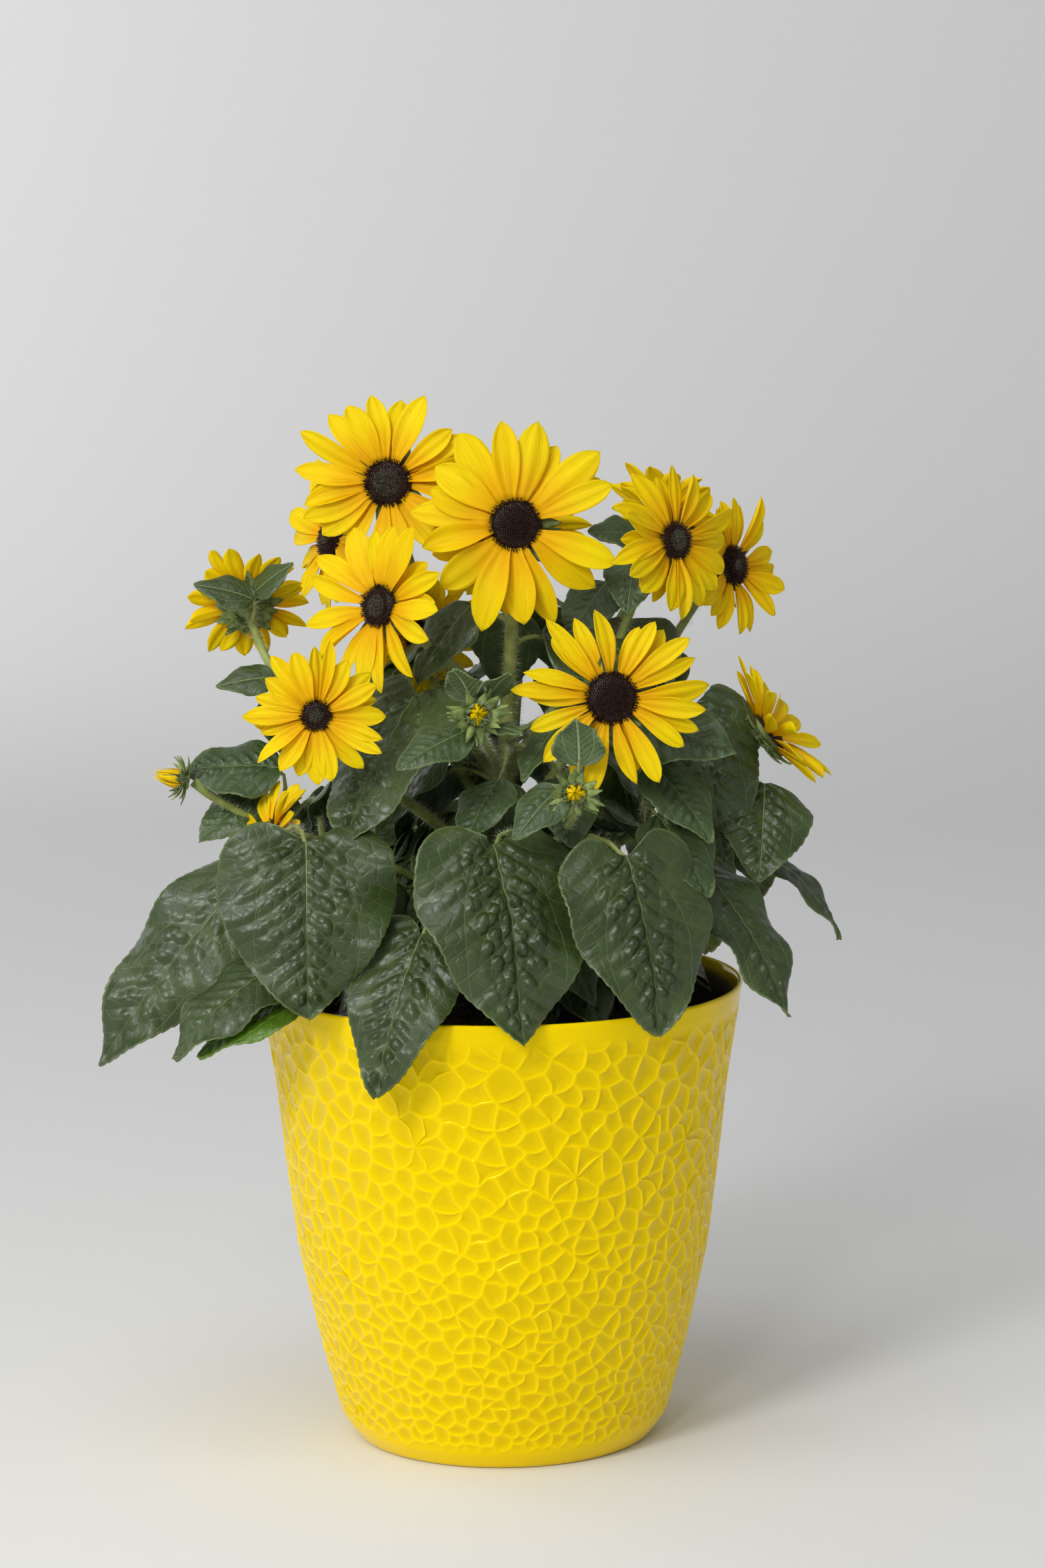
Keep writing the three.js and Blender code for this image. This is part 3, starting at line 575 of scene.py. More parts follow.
def scattered():
    """Points at least a cell apart, as angle and unrolled height, with fans laid out first."""
    places = np.zeros((0, 2))
    room = np.zeros(0)

    def clear(candidate, distance):
        gap = np.abs(places - candidate)
        gap[:, 0] = np.minimum(gap[:, 0], 2 * math.pi - gap[:, 0])
        return not len(places) or bool(np.all(np.hypot(gap[:, 0], gap[:, 1]) > np.maximum(distance, room)))

    for tries, fan in ((FAN_TRIES, True), (CELL_TRIES, False)):
        for _ in range(tries):
            middle = np.array([pot_random.uniform(0, 2 * math.pi), pot_random.uniform(low_edge, high_edge)])
            size = cell_size(middle[1])
            if fan and clear(middle, FAN_ROOM * size):
                angles = (np.arange(FAN_CELLS) + pot_random.uniform(-0.3, 0.3, FAN_CELLS)) * 2 * math.pi / FAN_CELLS
                ring = middle + FAN_RING * size * np.stack([np.cos(angles), np.sin(angles)], axis=1)
                if ((ring[:, 1] > low_edge) & (ring[:, 1] < high_edge)).all():
                    places = np.vstack([places, ring % [2 * math.pi, 10]])
                    room = np.append(room, np.full(FAN_CELLS, CELL_ROOM * size))
                    fan_middles.append((middle, FAN_EDGE * size))
            own = size * pot_random.uniform(*CELL_SPREAD)
            if not fan and clear(middle, own):
                gaps = [np.hypot((middle - m + [math.pi, 0])[0] % (2 * math.pi) - math.pi, (middle - m)[1]) - r
                        for m, r in fan_middles]
                if min(gaps) > 0:
                    places = np.vstack([places, middle])
                    room = np.append(room, CELL_ROOM * own)
    return places


fan_middles = []
cell_places = scattered()
print("net:", len(cell_places), "cells,", len(fan_middles), "fans")


# %% Cells from the points
LAP = 0.7          # angle that is repeated past each end


def cells_of(places):
    """The corners of each point's cell. Copies past both ends of the angle and mirrored across both edges
    of the band make the cells close up round the pot and end on straight edges."""
    near = 4 * cell_size(places[:, 1])
    around = [places]
    for edge in (low_edge, high_edge):
        close = places[np.abs(places[:, 1] - edge) < near]
        around.append(np.stack([close[:, 0], 2 * edge - close[:, 1]], axis=1))
    band = np.vstack(around)
    last, first = band[band[:, 0] > 2 * math.pi - LAP], band[band[:, 0] < LAP]
    everything = np.vstack([band, last - [2 * math.pi, 0], first + [2 * math.pi, 0]])
    made = delaunay_2d_cdt([Vector(p) for p in everything], [], [], 0, 1e-9)
    points, faces = np.array(made[0]), np.array(made[2])
    source = np.array([o[0] for o in made[3]])
    a, b, c = (points[faces[:, k]] for k in range(3))
    b, c = b - a, c - a
    twice = 2 * (b[:, 0] * c[:, 1] - b[:, 1] * c[:, 0])
    bb, cc = (b**2).sum(1), (c**2).sum(1)
    centres = a + np.stack([c[:, 1] * bb - b[:, 1] * cc, b[:, 0] * cc - c[:, 0] * bb], axis=1) / twice[:, None]
    corners = [[] for _ in places]
    for face, centre in zip(faces, centres):
        for k in face:
            if source[k] < len(places):
                corners[source[k]].append(centre)
    for i, found in enumerate(corners):
        found = np.array(found)
        turn = np.arctan2(found[:, 1] - places[i, 1], found[:, 0] - places[i, 0])
        corners[i] = found[np.argsort(turn)]
    return corners


cell_corners = cells_of(cell_places)
print("corners to a cell:", round(float(np.mean([len(c) for c in cell_corners])), 1))

# %% Pot mesh
RIDGES = [(0.0, 1.0), (0.45, 0.72), (1.15, 0.0)]      # millimetres in from a crest, and share of its height
RELIEF, DISHED = 0.66, -0.12        # millimetres from a floor up to a crest, and share of it a floor dips
NET_FADE, PLAIN_STEP = 6, 1.5       # the net sinks away over this height, and a plain band starts past it
WALL, FLOOR = 2.6, 3.0
INNER_LEVELS = (225, 220, 212, 205, 198, 150, 100, 50, 11)
INNER_SHADE = ([219, 227.4], [-1.0, 0.5])     # heights on the inner wall, and the value there that sets its painted shade
TURNS, WELD, LIP_IN = 160, 0.02, 1.9


def bent(p):
    """Bends the straight walls of the net into curves. It fades out at both edges of the band."""
    a, v = p[:, 0], p[:, 1]
    room = np.clip(np.minimum(v - low_edge, high_edge - v) / 0.15, 0, 1)
    wave_a = np.sin(29 * a + 31 * v) + np.sin(17 * a - 43 * v + 1.3)
    wave_v = np.sin(31 * a - 27 * v + 0.7) + np.sin(21 * a + 37 * v)
    return p + 0.0095 * room[:, None] * np.stack([wave_a, wave_v], axis=1)


def on_pot(p, depth):
    """Points of the pot's side, at angle and unrolled height, sunk by depth."""
    z = np.interp(p[:, 1], unrolled, fine_levels)
    r = np.interp(z, fine_levels, fine_radius) - depth
    return np.stack([r * np.cos(p[:, 0]), r * np.sin(p[:, 0]), z], axis=1)


def faded(v):
    """Height of the net as a share: it sinks into the plain bands at the foot and under the rim."""
    z = np.interp(v, unrolled, fine_levels)
    return np.clip((z - NET_LOW) / NET_FADE, 0, 1) * np.clip((NET_HIGH - z) / NET_FADE, 0, 1)


def outline_of(corners):
    """A cell's outline with its edges cut up, each by its own length so that both cells beside it agree."""
    points = []
    for a, b in zip(corners, np.roll(corners, -1, axis=0)):
        pieces = max(1, int(np.hypot(*(b - a)) / (0.38 * cell_size((a[1] + b[1]) / 2)) + 0.5))
        points += [a + (b - a) * k / pieces for k in range(pieces)]
    return np.array(points)


def net_cell(corners):
    """One cell: rings of points from the crest inwards, and a middle."""
    outline = bent(outline_of(corners))
    middle = outline.mean(axis=0)
    inward = middle - outline
    reach = np.linalg.norm(inward, axis=1) * np.interp(np.interp(middle[1], unrolled, fine_levels),
                                                       fine_levels, fine_radius)
    rings, heights = [], []
    for k, (distance, height) in enumerate(RIDGES):
        ring = outline + inward * (np.minimum(distance, 0.6 * reach * k / len(RIDGES) + 0.2) / reach)[:, None]
        if k > 1:
            ring = (np.roll(ring, 1, axis=0) + 4 * ring + np.roll(ring, -1, axis=0)) / 6
        rings.append(ring if k else outline)
        heights.append(np.full(len(outline), height))
    flat = np.vstack([*rings, middle])
    height = np.append(np.concatenate(heights), DISHED)
    share = faded(flat[:, 1])
    count = len(outline)
    last = len(RIDGES) * count
    fan = np.stack([np.arange(count) + last - count, (np.arange(count) + 1) % count + last - count,
                    np.full(count, last)], axis=1)
    quads = grid_faces(len(RIDGES), count, closed=True)
    tris = np.vstack([quads[:, [0, 1, 2]], quads[:, [0, 2, 3]], fan])
    return {"points": on_pot(flat, RELIEF * (1 - height) * share), "faces": tris,
            "relief": 0.5 + (height - 0.5) * share}


def edge_angles(edge):
    """Angles at which the net's walls and their cuts meet one edge of the band."""
    found = np.concatenate([o[np.abs(o[:, 1] - edge) < 1e-6, 0] for o in map(outline_of, cell_corners)])
    found = np.sort(np.round(found % (2 * math.pi), 6))
    return found[np.append(True, np.diff(found) > 1e-5)]


def zipped(first, second):
    """Triangles between two closed loops, given as angles: always on to whichever comes next."""
    i = j = 0
    faces = []
    while i < len(first) or j < len(second):
        a, b = i % len(first), len(first) + j % len(second)
        step_first = j >= len(second) or (i < len(first) and first[i] <= second[j])
        faces.append((a, b, (i + 1) % len(first)) if step_first else (a, b, len(first) + (j + 1) % len(second)))
        i, j = i + step_first, j + (not step_first)
    return np.array(faces)


def lathe(profile, turns=TURNS):
    """Rows of points round the pot's axis, closed by a middle point at each end that has radius nought."""
    angles = np.linspace(0, 2 * math.pi, turns, endpoint=False)
    rows = [(r, z) for r, z in profile if r > 0]
    points = np.array([(r * math.cos(a), r * math.sin(a), z) for r, z in rows for a in angles])
    quads = grid_faces(len(rows), turns, closed=True)
    tris = [quads[:, [0, 1, 2]], quads[:, [0, 2, 3]]]
    k = np.arange(turns)
    if profile[-1][0] == 0:
        rim = (len(rows) - 1) * turns
        tris.append(np.stack([rim + k, rim + (k + 1) % turns, np.full(turns, len(points))], axis=1))
        points = np.vstack([points, [0, 0, profile[-1][1]]])
    if profile[0][0] == 0:
        tris.append(np.stack([(k + 1) % turns, k, np.full(turns, len(points))], axis=1))
        points = np.vstack([points, [0, 0, profile[0][1]]])
    return {"points": points, "faces": np.vstack(tris)}


def pot_mesh():
    radius = lambda z: float(np.interp(z, fine_levels, fine_radius))
    parts = [net_cell(c) for c in cell_corners]
    turns = np.linspace(0, 2 * math.pi, TURNS, endpoint=False)
    for edge, next_level in ((low_edge, NET_LOW - PLAIN_STEP), (high_edge, NET_HIGH + PLAIN_STEP)):
        loop = edge_angles(edge)
        next_v = float(np.interp(next_level, fine_levels, unrolled))
        flat = np.vstack([np.stack([loop, np.full(len(loop), edge)], axis=1),
                          np.stack([turns, np.full(TURNS, next_v)], axis=1)])
        faces = zipped(loop, turns)
        parts.append({"points": on_pot(flat, 0), "faces": faces if next_level < NET_LOW else faces[:, ::-1]})
    low = [(0, 0), (radius(0) - 1.2, 0), (radius(0), 0.4), *[(radius(z), z) for z in (2, 4, NET_LOW - PLAIN_STEP)]]
    lip = radius(POT_TOP)
    high = [(radius(z), z) for z in (NET_HIGH + PLAIN_STEP, 223, 225.5)]
    high += [(lip - 0.05, POT_TOP - 0.9), (lip - 0.3, POT_TOP - 0.25), (lip - 0.8, POT_TOP),
             (lip - WALL + 0.7, POT_TOP), (lip - WALL + 0.15, POT_TOP - 0.3)]
    high += [(radius(z) - WALL, z) for z in INNER_LEVELS]
    high += [(radius(FLOOR) - WALL - 4, FLOOR), (0, FLOOR)]
    parts += [lathe(low), lathe(high)]
    # The inner wall carries painted shade: from nothing at the rim to all over at the soil.
    level = parts[-1]["points"][:, 2]
    inner = np.hypot(*parts[-1]["points"][:, :2].T) < np.interp(level, fine_levels, fine_radius) - LIP_IN
    parts[-1]["relief"] = np.where(inner, np.interp(level, *INNER_SHADE), 0.5)
    for part in parts:
        part.setdefault("relief", np.full(len(part["points"]), 0.5))
    mesh = new_mesh("pot", joined(parts))
    work = bmesh.new()
    work.from_mesh(mesh)
    bmesh.ops.remove_doubles(work, verts=work.verts, dist=WELD * MM)
    bmesh.ops.recalc_face_normals(work, faces=work.faces)
    for face in work.faces:
        face.smooth = True
    open_edges = sum(len(e.link_faces) != 2 for e in work.edges)
    work.to_mesh(mesh)
    work.free()
    print("pot: open edges", open_edges)
    return mesh


piece("yellow_pot", pot_mesh(), ["pot"], POT)

# %% [markdown]
# ## The soil
#
# Potting mix settles a little below the rim. Its top is an uneven disc, and a scatter of crumbs over it
# gives the loose look. The crumbs are Geometry Nodes work: points spread over the disc by a seed, a small
# round stone on each, turned and sized at random, and a squashed few that look like bark.


# %% Soil
SOIL_LEVELS = (185, 140, 90, 50, 20)
SETTLED, SWELL, ROUGH = 1.2, 1.6, 0.8       # millimetres the top has sunk, swells slowly and is rough by


def soil_mesh():
    low, high = (np.array(c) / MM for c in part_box("soil"))
    edge = (high[0] - low[0]) / 2
    rows = [(0, high[2]), *[(r, high[2]) for r in np.linspace(5, edge, 22)]]
    under = [(float(np.interp(z, fine_levels, fine_radius)) - WALL - 0.8, z) for z in (*SOIL_LEVELS, low[2] + 3)]
    under += [(under[-1][0] - 4, low[2]), (0, low[2])]
    part = lathe(rows + under, 72)
    part["faces"] = part["faces"][:, ::-1]
    for p in part["points"]:
        if p[2] > high[2] - 1:
            p[2] -= SETTLED + SWELL * (1 + noise(Vector(p) * 0.05)) + ROUGH * noise(Vector(p) * 0.2)
    return new_mesh("potting_soil", part)


def crumb_tree():
    inputs = {"Density": ("Float", 30000.0), "Size": ("Float", 0.002), "Seed": ("Int", 1)}
    tree, given, out = geometry_tree("soil_crumbs", inputs)
    up = add(tree, "ShaderNodeSeparateXYZ", {0: add(tree, "GeometryNodeInputNormal").outputs[0]}).outputs[2]
    top = add(tree, "FunctionNodeCompare", {0: up, 1: 0.7}, operation="GREATER_THAN").outputs[0]
    spread = add(tree, "GeometryNodeDistributePointsOnFaces",
                 {"Mesh": given["Geometry"], "Selection": top, "Density": given["Density"], "Seed": given["Seed"]})
    ball = add(tree, "GeometryNodeMeshIcoSphere", {"Radius": given["Size"], "Subdivisions": 1})
    turn = drawn(tree, (0, 0, 0), (6.3, 6.3, 6.3))
    size = drawn(tree, (0.3, 0.25, 0.2), (1.4, 0.9, 0.7))
    crumbs = copies(tree, spread.outputs["Points"], ball.outputs["Mesh"], turn, size)
    tree.links.new(painted(tree, together(tree, given["Geometry"], crumbs), SOIL), out[0])
    return tree


piece("potting_soil", worked(soil_mesh(), crumb_tree(), {"Density": 32000.0, "Seed": 5}), ["soil"])

# %% [markdown]
# ## Where everything grows
#
# The frame says where each bloom, stem and leaf is, and this file repeats what shape each one has: which
# way a bloom faces and how wide it is, which way a leaf hangs and how much it bends. Laying that shape
# into its node's box gives the exact place of its heart. Stems then run from the main stem to the backs
# of the blooms, and petioles from the nearest stem to the leaves, by the same rules as in the frame.

# %% Blooms and buds
CALYX_DEPTH, STEM_SEAT, DISC_DOME = 9.0, 0.8, 2.5
NOTCH, SHORT_TIP = 0.62, 0.93       # where the plain stars' notches and every third tip lie, as shares


def bloom(*values):
    """face: compass angle of the normal (270 is the front) and its height. reach: disc centre to petal tip.
    petals, cup: their number, and how far they lean forward. start: height of the side stem's foot.
    sweep: how far that stem bows out. young: share of the disc still closed. broad: petal width."""
    return dict(zip(("face", "reach", "disc", "petals", "cup", "start", "sweep", "young", "broad"), values))


BLOOMS = {
    "top_left": bloom((262, 8), 48, 12, 20, 6, 330, 0, 0.62, 13.5),
    "top_centre": bloom((270, 8), 53, 13, 16, 0, 0, 0, 0, 17.5),
    "mid_left": bloom((230, 10), 45, 10.5, 15, 12, 352, 0, 0.55, 13),
    "low_left": bloom((268, 8), 35, 7.5, 20, 4, 268, 0.1, 0.5, 10),
    "right_centre": bloom((272, 8), 48, 13, 19, 4, 282, 0.1, 0, 11),
    "upper_right": bloom((312, 8), 40, 9.5, 17, 4, 296, 0.1, 0.6, 12),
    "far_right": bloom((318, 8), 39, 10, 17, 8, 288, 0.15, 0.3, 10),
    "top_right": bloom((60, 38), 34, 10, 16, 14, 330, 0.1, 0.2, 11),
    "side_right": bloom((356, 36), 40, 11, 16, 24, 254, 0.2, 0.3, 11),
    "outer_left": bloom((108, 22), 34, 9, 17, 4, 276, 0.2, 0.3, 10),
    "rear_left": bloom((212, 12), 40, 11, 18, 6, 300, 0.1, 0.3, 12),
    "under_left": bloom((292, -14), 36, 9, 16, 10, 318, 0, 0.2, 11),
    "far_left": bloom((200, 34), 32, 8.5, 16, 8, 244, 0.1, 0.3, 9),
    "back_centre": bloom((94, 22), 42, 12, 18, 4, 300, 0.1, 0.4, 12),
    "back_right": bloom((68, 14), 40, 11, 17, 6, 262, 0.1, 0, 12),
}
BUDS = {
    "front": dict(face=(270, 12), reach=13, start=312, sweep=0),
    "right": dict(face=(268, 14), reach=12, start=246, sweep=0),
    "left": dict(face=(188, 12), reach=9, start=236, sweep=0),
}


def bearing(azimuth, elevation):
    a, e = math.radians(azimuth), math.radians(elevation)
    return np.array([math.cos(a) * math.cos(e), math.sin(a) * math.cos(e), math.sin(e)])


def axes_of(face):
    """A flower's own axes as rows: sideways, upwards and out of its face."""
    normal = bearing(*face)
    side = unit(np.cross(UP, normal))
    return np.array([side, np.cross(normal, side), normal])


def box_mm(node):
    return tuple(np.array(c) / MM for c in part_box(node))


def plain_star(flower, points, middle, cup):
    """The corners of a flower's plain star in the frame, from its middle's radius out to its reach."""
    k = np.arange(2 * points)
    turns = k * math.pi / points
    reach = np.where(k % 2, middle + (flower["reach"] - middle) * NOTCH,
                     flower["reach"] * np.where(k % 3 == 1, SHORT_TIP, 1))
    return np.stack([np.cos(turns) * reach, np.sin(turns) * reach, (reach - middle) * math.tan(math.radians(cup))],
                    axis=1)


def place_bloom(node, flower):
    """The middle of a flower's disc: its plain star shape is laid into the middle of the node's box."""
    star = plain_star(flower, flower["petals"], flower["disc"], flower["cup"])
    star = np.vstack([star, [0, 0, DISC_DOME], [0, 0, -CALYX_DEPTH]]) @ axes_of(flower["face"])
    low, high = box_mm(node)
    misfit = (star.max(0) - star.min(0)) - (high - low)
    return (low + high) / 2 - (star.min(0) + star.max(0)) / 2, float(abs(misfit).max())


worst = 0
for name, flower in BLOOMS.items():
    flower["at"], misfit = place_bloom("bloom_" + name, flower)
    worst = max(worst, misfit)
print("blooms placed, largest misfit", round(worst, 2), "mm")

# %% Stems
MAIN_FOOT, MAIN_TIP, MAIN_FLARE, MAIN_FLARE_HEIGHT = 7.5, 2.7, 3.0, 14.0
STEM_FOOT, STEM_TIP, BUD_STEM, PETIOLE, SMALL_PETIOLE = 3.0, 1.9, 1.9, 1.6, 1.3
STEM_RISE, STEM_LEAN, STEM_TURN, STEM_HANG = 0.34, 0.22, 0.2, 0.16
BUD_POINTS, BUD_CUP = 9, 30
main_low, main_high = box_mm("main_stem")
# The main stem's bends, from its foot: sideways, back and height above the soil.
MAIN_BENDS = [(0, 0, 0), (1, 2, 61.7), (3, -4, 129.7), (6, -20, 189.7), (9, -37, 237.7)]


def stem_end(flower):
    return flower["at"] - bearing(*flower["face"]) * CALYX_DEPTH * STEM_SEAT


def bezier(a, b, c, d, count):
    t = np.linspace(0, 1, count)[:, None]
    return (1 - t) ** 3 * a + 3 * (1 - t) ** 2 * t * b + 3 * (1 - t) * t**2 * c + t**3 * d


def spline(points, count):
    """A smooth line through points, evenly spaced along its length."""
    p = np.vstack([2 * points[0] - points[1], points, 2 * points[-1] - points[-2]])
    t = np.linspace(0, 1, 24, endpoint=False)[:, None]
    parts = [0.5 * (2 * p[i] + (p[i + 1] - p[i - 1]) * t + (2 * p[i - 1] - 5 * p[i] + 4 * p[i + 1] - p[i + 2]) * t**2
                    + (3 * p[i] - p[i - 1] - 3 * p[i + 1] + p[i + 2]) * t**3) for i in range(1, len(p) - 2)]
    line = np.vstack([*parts, points[-1]])
    return evenly(line, count)


def evenly(line, count):
    length = np.concatenate([[0], np.cumsum(np.linalg.norm(np.diff(line, axis=0), axis=1))])
    at = np.linspace(0, length[-1], count)
    return np.stack([np.interp(at, length, line[:, k]) for k in range(3)], axis=1)


main_foot = np.array([0.0, 6.0, main_low[2]])
main_line = spline(np.vstack([main_foot + MAIN_BENDS, stem_end(BLOOMS["top_centre"])]), 61)
print("main stem's foot:", main_foot.round(1), "and box", main_low.round(1), main_high.round(1))


def main_point(height):
    return main_line[np.argmax(main_line[:, 2] >= height)]


def stem_line(flower, count=24):
    start, end = main_point(flower["start"]), stem_end(flower)
    span = np.linalg.norm(end - start)
    outward = unit((end - start) * [1, 1, 0])
    first = start + UP * span * STEM_RISE + outward * span * (STEM_LEAN + flower["sweep"])
    last = end - bearing(*flower["face"]) * span * STEM_TURN - UP * span * STEM_HANG
    return evenly(bezier(start, first, last, end, 80), count)


for name, bud in BUDS.items():      # a bud's node is its stem too, so its tip is the box's outer side
    low, high = box_mm("bud_" + name)
    star = plain_star(bud, BUD_POINTS, bud["reach"] / 2, BUD_CUP) @ axes_of(bud["face"])
    at_low, at_high = low - star.min(0), high - star.max(0)
    bud["at"] = np.where(bearing(*bud["face"]) < 0, at_low, at_high)
    bud["at"][2] = at_high[2]
    if name == "left":
        bud["at"][1] = at_low[1]
    else:
        bud["at"][0] = at_high[0] if low[0] > -5 else at_low[0]
    print("bud", name, bud["at"].round(1))

stem_lines = {"main_stem": main_line}
stem_lines.update({"stem_" + n: stem_line(f) for n, f in BLOOMS.items() if f["start"]})
stem_lines.update({"bud_" + n: stem_line(f) for n, f in BUDS.items()})


# %% Tubes
def tube(line, radii, sides=10, ribs=0.0):
    """A closed tube along a line. ribs: height of its lengthwise ribs, as a share of the radius."""
    ahead = unit(np.gradient(line, axis=0))
    across = np.zeros_like(ahead)
    across[0] = unit(np.cross(ahead[0], UP if abs(ahead[0][2]) < 0.9 else [1.0, 0, 0]))
    for i in range(1, len(line)):
        across[i] = unit(across[i - 1] - ahead[i] * (across[i - 1] @ ahead[i]))
    other = np.cross(ahead, across)
    turn = np.arange(sides) * 2 * math.pi / sides
    r = np.asarray(radii)[:, None] * (1 + ribs * np.cos(turn * sides / 2))
    points = line[:, None] + r[..., None] * (np.cos(turn)[None, :, None] * across[:, None]
                                             + np.sin(turn)[None, :, None] * other[:, None])
    k = np.arange(sides // 2 - 1)
    cap = np.stack([k, k + 1, sides - 2 - k, sides - 1 - k], axis=1)
    faces = [grid_faces(len(line), sides, closed=True), cap[:, ::-1], cap + (len(line) - 1) * sides]
    return {"points": points.reshape(-1, 3), "faces": np.vstack(faces)}


def main_radii(count):
    share = np.linspace(0, 1, count)
    height = share * np.linalg.norm(np.diff(main_line, axis=0), axis=1).sum()
    flare = MAIN_FLARE * np.clip(1 - height / MAIN_FLARE_HEIGHT, 0, None) ** 2
    return MAIN_FOOT + (MAIN_TIP - MAIN_FOOT) * share**0.6 + flare


def stem_radii(name):
    count = len(stem_lines[name])
    if name == "main_stem":
        return main_radii(count)
    foot, tip = (STEM_FOOT, STEM_TIP) if name.startswith("stem") else (BUD_STEM, BUD_STEM)
    swell = 0.3 * np.exp(-(((1 - np.linspace(0, 1, count)) / 0.06) ** 2))    # widens into the flower head
    return np.linspace(foot, tip, count) * (1 + swell)


stem_tubes = [tube(line, stem_radii(name), 10, 0.04) for name, line in stem_lines.items()]
print("stems:", len(stem_tubes), "tubes")

# %% [markdown]
# ## Leaves
#
# A blade is heart shaped, toothed, folded up a little along its midrib, curled down at its margin and
# arched from foot to tip. All of that is a rule, so a blade is a grid: rows run from the midrib out to the
# margin, and columns run from foot to tip. The rows end on the margin exactly, four to each tooth, so the
# teeth are real. The blisters come afterwards, in one geometry tree over all blades at once: a Voronoi
# pattern in the blade's own millimetres gives the net of small veins, and each mesh of it is a round dome.
# The shader reads the same pattern, so its pale veins lie in the grooves.

# %% Leaf table
def shaped(*values, **more):
    """heading: compass angle of the tip. droop: how far it hangs below level. arch: bend along the midrib.
    roll: turn about the midrib. Lengths and widths are of the whole blade. wavy, blistered: shares of the usual."""
    return dict(zip(("heading", "droop", "length", "width", "arch", "roll", "wavy", "blistered"), values), **more)


LEAVES = {
    "front_left": shaped(272, 78, 84, 86, 32, 0, 1, 0.6),
    "front_centre": shaped(294, 70, 97, 86, 34, 0),
    "front_right": shaped(304, 73, 88, 76, 30, 6),
    "rim_left": shaped(236, 62, 84, 54, 44, -14, 1.4, 0.8),
    "side_left": shaped(195, 50, 112, 54, 30, -52, 2.4, 0.35),
    "low_left": shaped(204, 38, 64, 42, 30, -22, 1.8, 0.45),
    "rim_outer": shaped(196, 28, 56, 36, 34, -22),
    "mid_left": shaped(232, 51, 88, 66, 30, 0, 1, 0.8),
    "right_tall": shaped(301, 72, 80, 56, 24, 20),
    "side_right": shaped(262, 52, 56, 50, 30, -14),
    "outer_right": shaped(353, 48, 62, 26, 60, 14, 1.6),
    "low_right": shaped(324, 56, 77, 44, 30, 10, 1.9),
    "back_left": shaped(122, 62, 88, 80, 34, 0),
    "back_centre": shaped(88, 66, 94, 84, 34, 0),
    "back_right": shaped(52, 62, 86, 74, 32, 0),
    "left_rear": shaped(158, 60, 72, 60, 34, 0),
    "right_rear_low": shaped(36, 58, 72, 56, 32, 0),
}
# Small leaves that share a node of a stem. foot: from the group's first foot. share: place on the stem.
GROUPS = {
    "at_front_bud": ("bud_front", 0.92, [
        shaped(213, 22, 43, 27, 24, -34, foot=(0, 0, 0)),
        shaped(238, -44, 24, 22, 40, 10, foot=(2, 4, 13)),
        shaped(312, -40, 23, 20, 40, -10, foot=(9, 4, 13)),
        shaped(311, 6, 20, 10, 20, 30, foot=(13, -2, 2))]),
    "at_right_bud": ("bud_right", 0.9, [
        shaped(264, -66, 26, 26, 30, 0, foot=(0, 0, 0)),
        shaped(219, 38, 36, 25, 24, -26, foot=(-9, -3, -10))]),
    "at_left_bud": ("bud_left", 0.72, [
        shaped(176, 2, 52, 42, 26, -34, foot=(0, 0, 0)),
        shaped(206, 34, 42, 30, 24, -40, foot=(-10, 8, -11))]),
    "upper_right": ("stem_upper_right", 0.8, [
        shaped(206, -8, 34, 28, 30, -40, foot=(0, 0, 0)),
        shaped(256, 50, 36, 30, 30, 0, foot=(-6, -12, -6)),
        shaped(222, 44, 38, 32, 30, -20, foot=(-20, 8, -22))]),
    "right_front": ("stem_side_right", 0.5, [
        shaped(338, 14, 58, 46, 24, 40, foot=(0, 0, 0)),
        shaped(318, 44, 52, 36, 24, 16, foot=(12, -4, -20)),
        shaped(314, 48, 50, 44, 24, 6, foot=(14, -16, -44))]),
    "centre": ("main_stem", 0.55, [
        shaped(236, 44, 40, 32, 26, 0, foot=(0, 0, 0)),
        shaped(232, 42, 36, 28, 26, 10, foot=(28, -4, 26)),
        shaped(280, 46, 42, 34, 26, 0, foot=(30, 2, 0))]),
}
# Half outlines: share along the midrib, share of the whole width, and the midrib point that a row leaves.
OUTLINE = np.array([(-0.02, 0.05, 0), (-0.12, 0.26, 0.05), (0.02, 0.47, 0.12), (0.3, 0.49, 0.3), (0.66, 0.32, 0.64),
                    (1, 0.01, 0.99)])
SMALL_OUTLINE = np.array([(0, 0.1, 0), (0.24, 0.5, 0.22), (0.64, 0.38, 0.62), (1, 0.01, 0.99)])
# The same outlines with all their roundness, for the margin that is seen.
MARGIN = np.array([(-0.02, 0.05, 0), (-0.12, 0.25, 0.05), (0.02, 0.455, 0.12), (0.3, 0.495, 0.3), (0.5, 0.44, 0.49),
                   (0.7, 0.33, 0.68), (0.86, 0.185, 0.84), (0.95, 0.08, 0.94), (1, 0.004, 0.99)])
SMALL_MARGIN = np.array([(0, 0.08, 0), (0.08, 0.34, 0.1), (0.28, 0.49, 0.26), (0.5, 0.44, 0.49), (0.7, 0.31, 0.68),
                         (0.86, 0.17, 0.84), (0.95, 0.075, 0.94), (1, 0.004, 0.99)])
SMALL_LEAF, FOLD, CURL = 60, 0.16, 0.5
print("leaves:", len(LEAVES), "large ones, and", len(GROUPS), "groups of small ones")


# %% Blade shape
def blade_axes(leaf):
    h = math.radians(leaf["heading"])
    along = bearing(leaf["heading"], -leaf["droop"])
    rolled = Matrix.Rotation(math.radians(leaf["roll"]), 3, Vector(along))
    side = np.array(rolled @ Vector((math.sin(h), -math.cos(h), 0)))
    return along, side, np.cross(side, along)


